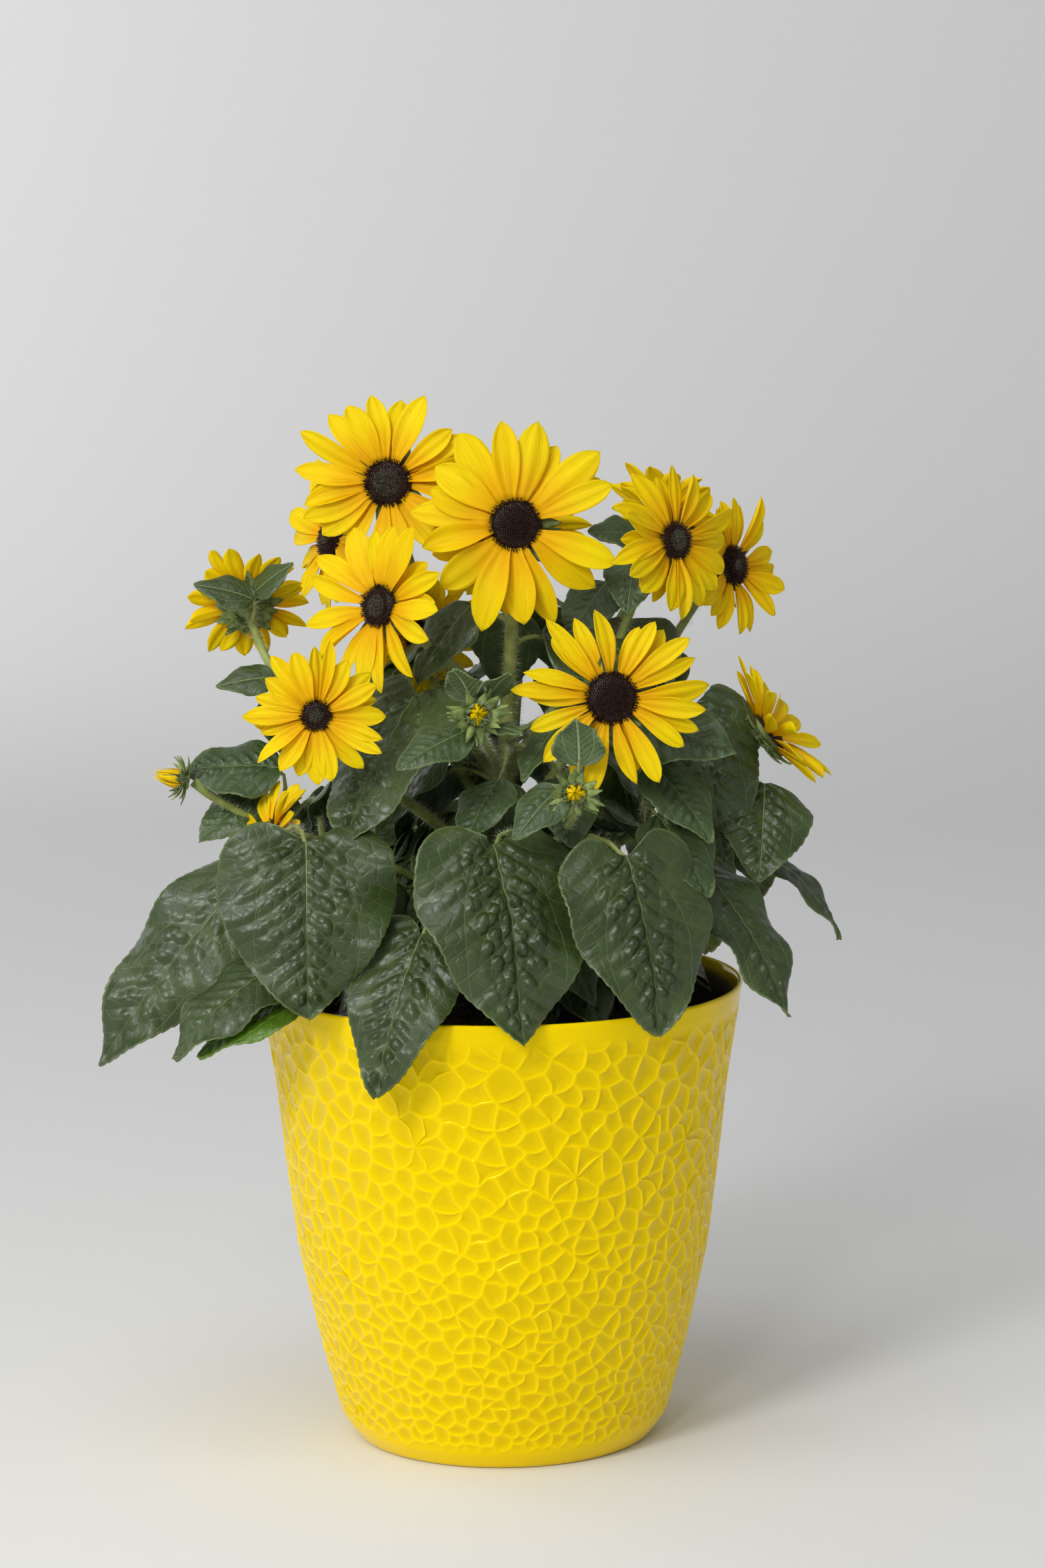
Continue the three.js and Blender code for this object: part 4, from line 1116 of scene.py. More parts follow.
def blade_points(leaf, share, offset, raised=0.0):
    """Points of a blade from its foot: share along the midrib, millimetres sideways, millimetres raised."""
    along, side, out = blade_axes(leaf)
    bend = math.radians(leaf["arch"])
    turn = bend / 2 - bend * share
    reach = leaf["length"] / bend * (math.sin(bend / 2) - np.sin(turn))
    rise = leaf["length"] / bend * (np.cos(turn) - math.cos(bend / 2))
    lift = np.abs(offset) * FOLD - CURL * offset**2 / leaf["width"] + raised
    return ((reach - np.sin(turn) * lift)[..., None] * along + (rise + np.cos(turn) * lift)[..., None] * out
            + np.asarray(offset)[..., None] * side)


def outline_for(leaf):
    return SMALL_OUTLINE if leaf["length"] < SMALL_LEAF else OUTLINE


def plain_blade(leaf):
    rows = outline_for(leaf)
    return np.vstack([blade_points(leaf, rows[:, 0], sign * rows[:, 1] * leaf["width"]) for sign in (-1, 1)]
                     + [blade_points(leaf, rows[:, 2], np.zeros(len(rows)))])


def place_leaf(node, leaf):
    """A leaf's foot. Its petiole runs inwards, so the blade fills the outer sides of the node's box."""
    low, high = box_mm(node)
    blade = plain_blade(leaf)
    outer_low = (low + high) / 2 < 0
    outer_low[2] = leaf["droop"] > 20
    return np.where(outer_low, low - blade.min(0), high - blade.max(0))


def nearest_stem(foot):
    """The nearest place on any stem that a petiole could come from, lower than the blade by choice."""
    places = np.vstack([evenly(line, 31) for line in stem_lines.values()])
    above = np.clip(places[:, 2] - foot[2] + 8, 0, None)
    return places[np.argmin(np.linalg.norm(places - foot, axis=1) + 1.5 * above)]


for name, leaf in LEAVES.items():
    leaf["foot"] = place_leaf("leaf_" + name, leaf)
    leaf["root"] = nearest_stem(leaf["foot"])
for name, (stem, share, group) in GROUPS.items():
    whole = np.vstack([plain_blade(leaf) + leaf["foot"] for leaf in group])
    low, high = box_mm("leaves_" + name)
    shift = np.where((low + high) / 2 < 0, low - whole.min(0), high - whole.max(0))
    shift[2] = low[2] - whole.min(0)[2]
    line = stem_lines[stem]
    for leaf in group:
        leaf["foot"] = leaf["foot"] + shift
        leaf["root"] = line[round(share * (len(line) - 1))]
    print("leaves", name, "first foot", group[0]["foot"].round(1))


# %% Detailed blade
TOOTH = 5.2             # millimetres of margin to a tooth
TOOTH_STEPS = np.array([0.0, 0.45, 0.85, 1.0])
SIDE_VEIN = 0.115       # share of the length from one side vein to the next
BLADE_STEP = 1.45       # millimetres from one column of a blade to the next
leaf_random = np.random.default_rng(3)


def margin_rows(leaf, fine):
    """Rows at equal steps along the margin, four to a tooth."""
    p = spline(SMALL_MARGIN if leaf["length"] < SMALL_LEAF else MARGIN, 400)
    length = np.hypot(np.gradient(p[:, 0]) * leaf["length"], np.gradient(p[:, 1]) * leaf["width"])
    length = np.cumsum(length) - length[0]
    teeth = max(5, round(length[-1] / (TOOTH / fine)))
    at = np.linspace(0, length[-1], teeth * len(TOOTH_STEPS) + 1)
    return np.stack([np.interp(at, length, p[:, k]) for k in range(3)], axis=1)


def detailed_blade(leaf, fine=1.0):
    """A blade's grid with its teeth, waves and attributes. fine: how much finer than usual its mesh is."""
    rows = margin_rows(leaf, fine)
    half = int(np.clip(leaf["width"] / 2 / BLADE_STEP * fine, 6, 30))
    v = np.linspace(-1, 1, 2 * half + 1)[None, :]
    share, wide, rib = (rows[:, k : k + 1] for k in range(3))
    along = rib + (share - rib) * v**2
    offset = wide * leaf["width"] * v
    # Teeth: the margin's last columns swell outwards and forwards, then drop back.
    step = np.arange(len(rows))
    tooth = TOOTH_STEPS[step % len(TOOTH_STEPS)] - 0.5
    ends = np.clip(step / 6, 0, 1) * np.clip((len(rows) - 1 - step) / 5, 0, 1)
    size = 0.45 * min(1.3, 0.6 + leaf["width"] / 90) * ends * leaf_random.uniform(0.6, 1.2, len(rows))
    edge = np.clip((np.abs(v) - 0.86) / 0.14, 0, 1) ** 1.5
    offset = offset + np.sign(v) * edge * (tooth * size)[:, None]
    along = along + edge * (tooth * size * 0.5 / leaf["length"])[:, None]
    # Waves of the margin, a pillow between side veins, and slow bulges.
    seed = leaf_random.uniform(0, 100)
    wave = 0.045 * leaf.get("wavy", 1) * leaf["width"] * np.abs(v) ** 3
    wave = wave * np.sin(4.2 * along * math.pi + seed + (v > 0) * 2)
    bulge = np.array([[noise(Vector((a * leaf["length"] * 0.045, o * 0.045, seed))) for a, o in zip(*r)]
                      for r in zip(along, offset)])
    phase = (along * leaf["length"] - 0.9 * np.abs(offset) + 0.008 * offset**2) / (SIDE_VEIN * leaf["length"])
    phase = phase + 0.3 * bulge
    pillow = 1.0 * min(1, leaf["width"] / 60) * np.sin(phase * math.pi) ** 2 * (1 - np.abs(v) ** 4)
    points = blade_points(leaf, along, offset, wave + pillow + 0.035 * leaf["width"] * bulge) + leaf["foot"]
    # The two main side veins leave the foot and arch along the blade towards its margin.
    rise = 1 - np.exp(-np.clip(along - 0.015, 0, None) / 0.17)
    main = 0.31 * leaf["width"] * rise * (1 - 0.25 * np.clip((along - 0.45) / 0.4, 0, 1) ** 2)
    to_main = np.abs(offset) - main
    to_side = np.abs(phase - np.round(phase)) * SIDE_VEIN * leaf["length"]
    calm = (1 - np.exp(-((offset / 1.8) ** 2))) * (1 - np.exp(-((to_main / 1.5) ** 2)))
    calm = calm * (0.3 + 0.7 * (1 - np.exp(-((to_side / 1.8) ** 2))))
    near_rib = np.clip((0.7 - np.abs(v)) / 0.46, 0, 1)
    calm = calm * (0.1 + 0.9 * near_rib**2 * (3 - 2 * near_rib))      # smooth towards the margin
    calm = calm * np.clip(along / 0.1 + 0.4, 0, 1) * np.clip((1 - along) / 0.12, 0, 1)
    quilt = calm * leaf.get("blistered", 1) * min(2.7, 0.5 + leaf["width"] / 36) * (0.75 + 0.6 * bulge)
    count = points.shape[0] * points.shape[1]
    fixed = lambda value: np.full(count, float(value))
    return {"points": points.reshape(-1, 3), "faces": grid_faces(*points.shape[:2]),
            "blade": np.stack([(along * leaf["length"]).ravel(), offset.ravel(), fixed(seed)], axis=1),
            "veins": np.stack([to_main.ravel(), phase.ravel(), fixed(SIDE_VEIN * leaf["length"] * 0.8)], axis=1),
            "quilt": quilt.ravel(), "margin": ((1 - np.abs(v)) * wide * leaf["width"]).ravel()}


def petiole(leaf, radius=PETIOLE):
    """The leaf's stalk, from its stem up and over into the midrib."""
    foot, root = leaf["foot"], leaf["root"]
    span = np.linalg.norm(foot - root)
    entry = foot + blade_points(leaf, np.array(0.1), np.array(0.0), -1.0)
    into = unit(entry - foot)
    first = root + (foot - root) * 0.35 + UP * span * 0.12
    last = foot - into * span * 0.3 - blade_axes(leaf)[2] * 1.2
    line = evenly(bezier(root, first, last, entry, 60), max(6, int(span / 6)))
    return tube(line, np.linspace(1.15, 0.55, len(line)) * radius, 8)


ROUND_SHARE = 0.75      # share of a blister's height that is a dome, beside its flat top between the veins


def blister_tree():
    inputs = {"Net cell": ("Float", NET_CELL), "Vein valley": ("Float", 1.6)}
    tree, given, out = geometry_tree("leaf_blisters", inputs)
    at, quilt = (add(tree, "GeometryNodeInputNamedAttribute", {0: name}, data_type=kind).outputs[0]
                 for name, kind in (("blade", "FLOAT_VECTOR"), ("quilt", "FLOAT")))
    scale = number(tree, "DIVIDE", 1.0, given["Net cell"])
    net = add(tree, "ShaderNodeTexVoronoi", {"Vector": at, "Scale": scale}, feature="DISTANCE_TO_EDGE",
              voronoi_dimensions="3D")
    edge = times(tree, net.outputs[0], given["Net cell"])
    lift = ramped(tree, edge, 0.0, given["Vein valley"], 0.0, MM)
    lift = number(tree, "ADD", times(tree, lift, 1 - ROUND_SHARE), times(tree, domes(tree, at), ROUND_SHARE * MM))
    height = times(tree, lift, quilt, ramped(tree, grain(tree, at, 0.09, 1.0), 0.3, 0.7, 0.35, 1.5))
    normal = add(tree, "GeometryNodeInputNormal").outputs[0]
    offset = add(tree, "ShaderNodeVectorMath", {0: normal, 3: height}, operation="SCALE").outputs[0]
    moved = add(tree, "GeometryNodeSetPosition", {"Geometry": given["Geometry"], "Offset": offset})
    tree.links.new(moved.outputs[0], out[0])
    return tree


BLISTERS = blister_tree()
BLADE_THICKNESS = 0.45
FRONT_LEAVES = ["front_left", "front_centre", "front_right", "rim_left", "side_left", "low_left", "mid_left",
                "right_tall", "side_right", "low_right"]
BACK_LEAVES = [n for n in LEAVES if n not in FRONT_LEAVES and n != "rim_outer"]


def leaf_piece(name, leaves, nodes, top, fine=1.0):
    blades = new_mesh(name, joined([detailed_blade(leaf, fine) for leaf in leaves]))
    made = worked(blades, BLISTERS, {}, BLADE_THICKNESS, (top, LEAF_UNDER))
    return piece(name, made, nodes)


leaf_piece("leaves_front", [LEAVES[n] for n in FRONT_LEAVES], ["leaf_" + n for n in FRONT_LEAVES], LEAF_TOP)
leaf_piece("leaves_back", [LEAVES[n] for n in BACK_LEAVES], ["leaf_" + n for n in BACK_LEAVES], LEAF_TOP, 0.8)
leaf_piece("leaf_bright", [LEAVES["rim_outer"]], ["leaf_rim_outer"], BRIGHT_TOP)
small = [leaf for _, _, group in GROUPS.values() for leaf in group]
leaf_piece("leaves_small", small, ["leaves_" + n for n in GROUPS], YOUNG_TOP, 1.1)
petioles = [petiole(leaf) for leaf in LEAVES.values()] + [petiole(leaf, SMALL_PETIOLE) for leaf in small]

# %% [markdown]
# ## Flower heads
#
# A bloom has a ring or two of ray florets, a domed disc packed with small florets, and behind it a green
# cup of pointed bracts. Petals are grids with two lengthwise pleats, a narrow foot and a rounded tip; each
# has its own length, turn, sag and roll, because a plain star of equal petals reads as a paper cut-out.
# A hinder row fills the gaps. Disc florets stand in the spiral of every sunflower, one golden angle from
# the last, which is what Geometry Nodes does well.

# %% Petals
flower_random = np.random.default_rng(21)
# Where the petals of two blooms lie, counted from the bloom's right: a gap and bunches, as they grew.
PETAL_ANGLES = {
    "top_centre": [21, 40, 64, 75, 99, 123, 142, 157, 169, 192, 221, 248, 272, 289, 320, 338],
    "right_centre": [2, -8, -21, -31, -58, -62, -81, 180, 172, 158, 135, 129, 95, 60, 51, 40, 25, -105, -140, -160],
}
BEHIND = {"top_centre": (2, 7), "right_centre": (5, 10, 14)}
# Shares of the length, and shares of the width there for a blunt petal and for a pointed one.
PETAL_SHAPE = (np.array([0, 0.1, 0.25, 0.42, 0.6, 0.75, 0.86, 0.94, 0.98, 1]),
               np.array([0.3, 0.42, 0.66, 0.9, 1, 0.97, 0.82, 0.54, 0.3, 0.06]),
               np.array([0.3, 0.42, 0.7, 0.93, 1, 0.9, 0.66, 0.36, 0.15, 0.02]))
PETAL_ROWS, PETAL_COLUMNS = 11, 9
ALONG_PETAL = 1 - (1 - np.linspace(0, 1, PETAL_ROWS)) ** 1.25
# Shares of the usual reach and width, of petals that fold up, and of the length a petal bends sideways.
PETAL_REACH, PETAL_BROAD, FOLDED_SHARE, PETAL_BEND = (0.85, 1.02), (0.74, 1.04), 0.2, 0.065
# The hinder rows are shorter, and each row sits at its own height to the middle of the disc.
BEHIND_REACH, THIRD_REACH, ROW_HEIGHTS = 0.93, (0.75, 0.88), (-0.6, -2.2, -3.2)
PETAL_THICKNESS = 0.22


def round_flower(angle, out, side, up, data):
    """A grid at an angle round its flower, from how far out, sideways and up its points lie, and their data."""
    a = math.radians(angle)
    points = np.stack(np.broadcast_arrays(out * math.cos(a) - side * math.sin(a),
                                          out * math.sin(a) + side * math.cos(a), up), -1)
    data = np.stack(np.broadcast_arrays(*data), -1)
    return {"points": points.reshape(-1, 3), "faces": grid_faces(*points.shape[:2]), "petal": data.reshape(-1, 3)}


def petal(angle, inner, reach, broad, lift, sag, roll, fold, bend=0.0):
    """A petal in its flower's own axes. angle and roll in degrees; lift and sag as shares of its length."""
    blunt = flower_random.uniform(0, 1)
    length = reach - inner
    s = ALONG_PETAL[:, None]
    v = np.linspace(-1, 1, PETAL_COLUMNS)[None, :]
    half = np.interp(s, PETAL_SHAPE[0], blunt * PETAL_SHAPE[1] + (1 - blunt) * PETAL_SHAPE[2]) * broad / 2
    side = half * v
    ahead = s * length - 0.1 * half * v**2 * s
    pleat = 0.6 * np.cos(2 * math.pi * v) * np.clip(s * 5, 0, 1) * np.clip((1.02 - s) * 5, 0, 1)
    ripple = 0.5 * np.sin(7 * s + angle) * v**3 * half / 6
    up = length * (lift * s - sag * s**2.2) + fold * np.abs(v) ** 1.6 * half + pleat + ripple
    turn = math.radians(roll) * (0.4 + 0.6 * s)
    side, up = side * np.cos(turn) - (up - length * lift * s) * np.sin(turn), up + side * np.sin(turn)
    side = side + bend * length * s**2
    return round_flower(angle, inner + ahead, side, up, (s, v * broad / 2, flower_random.uniform(0, 60)))


def in_place(part, flower, shift=0.0):
    """A part made in a flower's own axes, moved into the plant."""
    moved = part["points"] + [0, 0, shift]
    return {**part, "points": moved @ axes_of(flower["face"]) + flower["at"]}


def petals_of(name, flower):
    count = flower["petals"]
    angles = PETAL_ANGLES.get(name, list(np.arange(count) * 360 / count + flower_random.normal(0, 3.5, count)
                                         + flower_random.uniform(0, 20)))
    made = []
    lift = math.tan(math.radians(flower["cup"]))
    for k, angle in enumerate(angles):
        behind = k in BEHIND[name] if name in BEHIND else k % 3 == 1
        reach = flower["reach"] * flower_random.uniform(*PETAL_REACH) * (BEHIND_REACH if behind else 1)
        broad = flower["broad"] * flower_random.uniform(*PETAL_BROAD)
        folded = flower_random.random() < FOLDED_SHARE
        part = petal(angle, flower["disc"] * 0.86, reach, broad * (0.8 if folded else 1),
                     lift + flower_random.normal(0, 0.08) - 0.04 * behind + 0.05, flower_random.uniform(0.0, 0.18),
                     flower_random.normal(9, 12), 0.75 if folded else flower_random.uniform(-0.12, 0.3),
                     flower_random.normal(0, PETAL_BEND))
        made.append(in_place(part, flower, ROW_HEIGHTS[behind]))
    for _ in range(count // 3):      # a third row, half hidden
        part = petal(flower_random.uniform(0, 360), flower["disc"] * 0.8,
                     flower["reach"] * flower_random.uniform(*THIRD_REACH), flower["broad"] * 0.8, lift - 0.12, 0.06,
                     flower_random.normal(0, 10), 0.1)
        made.append(in_place(part, flower, ROW_HEIGHTS[2]))
    return made


def petal_piece(name, petals, nodes):
    made = worked(new_mesh("petals", joined(petals)), thickness=PETAL_THICKNESS, materials=(PETAL, PETAL))
    print("petals:", len(petals))
    return piece(name, made, nodes)


bloom_nodes, bud_nodes = ["bloom_" + n for n in BLOOMS], ["bud_" + n for n in BUDS]
rays = [part for name, flower in BLOOMS.items() for part in petals_of(name, flower)]
petal_piece("ray_florets", rays, bloom_nodes)


# %% Disc florets
GOLDEN_ANGLE = 137.508
FLORET = {"Radius Top": 0.28, "Radius Bottom": 0.95, "Depth": 1.7}      # in steps from one floret to the next


def disc_tree():
    inputs = {"Radius": ("Float", 0.013), "Count": ("Int", 260), "Young share": ("Float", 0.5), "Seed": ("Int", 1)}
    tree, given, out = geometry_tree("spiral_florets", inputs)
    line = add(tree, "GeometryNodeMeshLine", {"Count": given["Count"]})
    index = add(tree, "GeometryNodeInputIndex").outputs[0]
    share = number(tree, "SQRT", number(tree, "DIVIDE", number(tree, "ADD", index, 0.5), given["Count"]))
    angle = times(tree, index, math.radians(GOLDEN_ANGLE))
    radius = times(tree, share, given["Radius"])
    x, y = (times(tree, radius, number(tree, way, angle)) for way in ("COSINE", "SINE"))
    dome = ramped(tree, share, 0.2, 1.05, 0.0022, -0.001)
    spot = add(tree, "ShaderNodeCombineXYZ", {0: x, 1: y, 2: dome}).outputs[0]
    spread = add(tree, "GeometryNodeSetPosition", {"Geometry": line.outputs[0], "Position": spot}).outputs[0]
    lean = add(tree, "ShaderNodeCombineXYZ", {0: x, 1: y, 2: times(tree, given["Radius"], 1.5)}).outputs[0]
    stray = drawn(tree, (-0.3, -0.3, 0), (0.3, 0.3, 0), given["Seed"])
    stray = add(tree, "ShaderNodeVectorMath", {0: stray, 3: given["Radius"]}, operation="SCALE").outputs[0]
    lean = add(tree, "ShaderNodeVectorMath", {0: lean, 1: stray}).outputs[0]
    turn = add(tree, "FunctionNodeAlignRotationToVector", {"Vector": lean}, axis="Z").outputs[0]
    young = number(tree, "LESS_THAN", share, given["Young share"])
    luck = drawn(tree, 0.6, 1.4, given["Seed"])
    open_height = ramped(tree, share, 0.45, 0.95, 1.2, 2.2)
    height = times(tree, luck, number(tree, "SUBTRACT", open_height, times(tree, young, 0.45)))
    wide = number(tree, "ADD", 1.0, times(tree, young, 0.1))
    size = add(tree, "ShaderNodeCombineXYZ", {0: wide, 1: wide, 2: height}).outputs[0]
    pitch = number(tree, "DIVIDE", given["Radius"], number(tree, "SQRT", given["Count"]))
    shape = {key: times(tree, pitch, share_of) for key, share_of in FLORET.items()}
    cone = add(tree, "GeometryNodeMeshCone", {"Vertices": 5, **shape})
    florets = copies(tree, spread, cone.outputs["Mesh"], turn, size)
    dark = painted(tree, together(tree, given["Geometry"], florets), DARK_FLORET)
    at = add(tree, "ShaderNodeSeparateXYZ", {0: add(tree, "GeometryNodeInputPosition").outputs[0]}).outputs
    away = number(tree, "SQRT", number(tree, "ADD", times(tree, at[0], at[0]), times(tree, at[1], at[1])))
    inner = number(tree, "LESS_THAN", away, times(tree, given["Radius"], given["Young share"]))
    tree.links.new(painted(tree, dark, YOUNG_FLORET, inner), out[0])
    return tree


DISC_TREE = disc_tree()


def merged(name, placed):
    """One mesh from many, each with the matrix that puts it in place."""
    work = bmesh.new()
    for mesh, matrix in placed:
        mesh.transform(matrix)
        work.from_mesh(mesh)
    whole = bpy.data.meshes.new(name)
    work.to_mesh(whole)
    work.free()
    for material in placed[0][0].materials:
        whole.materials.append(material)
    return whole


def flower_matrix(flower):
    turn = Matrix(axes_of(flower["face"])).transposed().to_4x4()
    return Matrix.Translation(flower["at"] * MM) @ turn


def disc_base(flower):
    """The low dome that florets stand on, so that nothing shows between them."""
    side = [(0, -3), (0.9, -3), (0.98, -1.2), (0.75, 0.1), (0.4, 1.0), (0, 1.4)]    # share of the radius, height
    return new_mesh("base", lathe([(flower["disc"] * share, height) for share, height in side], 20))


discs = []
for seed, flower in enumerate(BLOOMS.values()):
    count = int(3.6 * flower["disc"] ** 1.9)
    values = {"Radius": flower["disc"] * 0.93 * MM, "Count": count, "Young share": flower["young"], "Seed": seed}
    discs.append((worked(disc_base(flower), DISC_TREE, values), flower_matrix(flower)))
piece("disc_florets", merged("disc_florets", discs), bloom_nodes)


# %% Bracts and buds
BRACT_SHAPE = ([0, 0.2, 0.5, 0.8, 1], [0.95, 1, 0.62, 0.22, 0.02])      # shares of the length and the width
BRACTS, BRACT_BROAD, BRACT_LIFT, BRACT_THICKNESS = 13, 6.0, 1.2, 0.4
# Whorls behind a bloom: share of the disc they start at, how far out they reach, and both ends' heights.
WHORLS = ((0.86, 9.5, -4.2, -2.4), (0.62, 5.5, -6.2, -5.0))


def bract(angle, start, end, broad, lift=0.0):
    """A pointed bract along the line from start to end, each given as radius and height."""
    s = np.linspace(0, 1, 7)[:, None]
    v = np.linspace(-1, 1, 5)[None, :]
    half = broad / 2 * np.interp(s, *BRACT_SHAPE)
    bow = 4 * s * (1 - s)
    radius = start[0] + (end[0] - start[0]) * s + lift * bow
    height = start[1] + (end[1] - start[1]) * s - 0.35 * lift * bow - 0.8 * v**2 * half * 0.5
    return round_flower(angle, radius, half * v, height, (s, half * v, angle % 7))


def bracts_of(flower):
    r = flower["disc"]
    made = []
    for whorl, (inner, out, down, rise) in enumerate(WHORLS):
        for k in range(BRACTS):
            angle = (k + whorl * 0.5) * 360 / BRACTS + flower_random.normal(0, 4)
            end = (r + out * flower_random.uniform(0.7, 1.15), rise + flower_random.normal(0, 0.9))
            made.append(in_place(bract(angle, (r * inner, down), end, BRACT_BROAD, BRACT_LIFT), flower))
    return made


def cup_of(flower, r):
    """The green cup behind a disc, on the end of its stem."""
    depth = -CALYX_DEPTH * r / max(r, 9)
    side = [(0, depth), (STEM_TIP + 0.4, depth), (r * 0.6, depth * 0.82), (r * 0.9, depth * 0.5),
            (r * 0.97, -1.6), (r * 0.7, -1.2), (0, -1.0)]
    return in_place(lathe(side, 24), flower)


def bract_piece(name, bracts, cups, nodes):
    """Bracts given a thickness, joined with cups that are solid already."""
    thin = worked(new_mesh("thin", joined(bracts)), thickness=BRACT_THICKNESS, materials=(BRACT, BRACT))
    solid = [worked(new_mesh("solid", cup)) for cup in cups]
    return piece(name, merged(name, [(m, Matrix()) for m in (thin, *solid)]), nodes, BRACT)


all_bracts = [b for flower in BLOOMS.values() for b in bracts_of(flower)]
bract_piece("bracts", all_bracts, [cup_of(flower, flower["disc"]) for flower in BLOOMS.values()], bloom_nodes)

# A bud: a tuft of folded petals that close over the middle, then whorls of bracts, each given as the radius
# and height of its start and end in shares of the tuft's radius, its width, and how many there are.
BUD_WHORLS = (((0.95, -0.1), (0.5, 1.1), 0.75, 9), ((1.0, -0.3), (2.45, 0.5), 0.78, 12),
              ((0.85, -0.7), (2.35, -0.5), 0.85, 11))
# A tuft's radius in shares of the bud's reach, then its height and its mouth in shares of that radius.
TUFTS = {"front": (0.45, 0.75, 0.12), "right": (0.45, 1.1, 0.12), "left": (0.55, 2.4, 0.45)}
TUFT_PETALS, TUFT_TURN, TUFT_BROAD = 22, 137.5, 3.4
bud_petals, bud_bracts, bud_cups = [], [], []
for name, bud in BUDS.items():
    wide, tall, mouth = TUFTS[name]
    r = bud["reach"] * wide
    bud_cups.append(cup_of(bud, r))
    for k in range(TUFT_PETALS):
        ring = 1 - (k % 3) * 0.28
        top = tall * r * flower_random.uniform(0.85, 1.1) * (1.12 - 0.12 * ring)
        part = bract(k * TUFT_TURN, (r * 0.88 * ring, -0.3), (r * mouth * ring, top), TUFT_BROAD, 0.22 * r)
        bud_petals.append(in_place(part, bud))
    for whorl, (start, end, broad, count) in enumerate(BUD_WHORLS):
        for k in range(count):
            reach = flower_random.uniform(0.55, 1.25)
            stop = (r + (end[0] - 1) * r * reach, end[1] * r + flower_random.normal(0, 1.8))
            angle = (k + whorl * 0.45) * 360 / count + flower_random.normal(0, 11)
            bud_bracts.append(in_place(bract(angle, (start[0] * r, start[1] * r), stop, broad * r, 0.5), bud))
petal_piece("bud_petals", bud_petals, bud_nodes)
bract_piece("bud_bracts", bud_bracts, bud_cups, bud_nodes)

# %% [markdown]
# ## Inner foliage
#
# Behind the big leaves the frame has two plain masses. Here they grow: shoots leave the nearest stems and
# head for places spread through each mass, side twigs leave the shoots, and every twig carries leaves.
# One seed settles all of it. These leaves are lighter meshes than the big ones, as few of them are seen
# whole, and they hang outwards as leaves that seek light do.

# %% Branching rule
SHOOTS, TWIGS, LEAVES_PER_TWIG = 10, 2, 3
# Higher up, leaves stand singly on the side stems. Each row: stem, its first and last place for them.
UPPER_STEMS = {"stem_under_left": (0.3, 0.7), "stem_rear_left": (0.4, 0.7), "stem_back_centre": (0.3, 0.8),
               "stem_top_right": (0.25, 0.6), "stem_right_centre": (0.25, 0.5), "stem_far_right": (0.4, 0.7),
               "stem_back_right": (0.4, 0.75), "stem_outer_left": (0.45, 0.7), "stem_top_left": (0.1, 0.4),
               "stem_upper_right": (0.3, 0.5), "stem_far_left": (0.5, 0.7)}
shoot_random = np.random.default_rng(8)


def spots_in(low, high, count):
    """Places spread through a rounded mass: each new one is the farthest of a handful from the others."""
    middle, half = (low + high) / 2, (high - low) / 2
    spots = []
    for _ in range(count):
        offers = [unit(shoot_random.normal(size=3)) * shoot_random.uniform(0.45, 0.8) for _ in range(12)]
        spots.append(max(offers, key=lambda o: min([np.linalg.norm(o - s) for s in spots] or [0])))
    return [middle + half * s for s in spots]


def twig_line(start, end, count=10):
    """A twig that leaves upwards and bends over towards its end."""
    span = np.linalg.norm(end - start)
    first = start + UP * span * 0.3 + (end - start) * 0.2
    last = end - (end - start) * 0.25 + UP * span * 0.08
    return evenly(bezier(start, first, last, end, 30), count)


def drawn_leaf(length, heading, droop, narrow, arch, **ends):
    """A leaf whose droop, width as a share of its length, and arch are drawn from ranges."""
    return dict(heading=heading, droop=shoot_random.uniform(*droop), length=length,
                width=length * shoot_random.uniform(*narrow), arch=shoot_random.uniform(*arch),
                roll=shoot_random.normal(0, 14), **ends)


def grown(node):
    low, high = box_mm(node)
    middle, half = (low + high) / 2, (high - low) / 2
    twigs, leaves = [], []
    for spot in spots_in(low, high, SHOOTS):
        shoot = twig_line(nearest_stem(spot), spot)
        lines = [(shoot, 1.5)]
        for _ in range(TWIGS):
            start = shoot[shoot_random.integers(4, 8)]
            way = unit(unit((start - middle) * [1, 1, 0.2]) + shoot_random.normal(0, 0.5, 3) * [1, 1, 0.6])
            lines.append((twig_line(start, start + way * shoot_random.uniform(14, 26)), 1.0))
        for line, radius in lines:
            twigs.append(tube(line, np.linspace(radius, radius * 0.6, len(line)), 6))
            for place in shoot_random.permutation([9, 6, 4])[:LEAVES_PER_TWIG]:
                foot = line[place]
                outward = math.degrees(math.atan2(*(foot - middle)[[1, 0]] / half[[1, 0]]))
                leaves.append(drawn_leaf(shoot_random.uniform(30, 50), outward + shoot_random.normal(0, 38), (20, 72),
                                         (0.62, 0.85), (20, 40), foot=foot))
    return twigs, leaves


def upper_leaves():
    leaves = []
    for stem, (first, last) in UPPER_STEMS.items():
        line = stem_lines[stem]
        ahead = line[-1] - line[0]
        outward = math.degrees(math.atan2(ahead[1], ahead[0]))
        for k, share in enumerate(np.linspace(first, last, 3)):
            root = line[round(share * (len(line) - 1))]
            heading = outward + (70 if k % 2 else -70) + shoot_random.normal(0, 20)
            length = shoot_random.uniform(38, 58)
            foot = root + bearing(heading, 25) * shoot_random.uniform(8, 16)
            leaves.append(drawn_leaf(length, heading, (15, 62), (0.66, 0.85), (24, 44), foot=foot, root=root))
    return leaves


RIM_ROOM, INSIDE_ROOM, OUTSIDE_ROOM = 5, 5, 4
OPEN_ABOVE, OPEN_HEADING, OPEN_SPREAD = 330, 275, 75


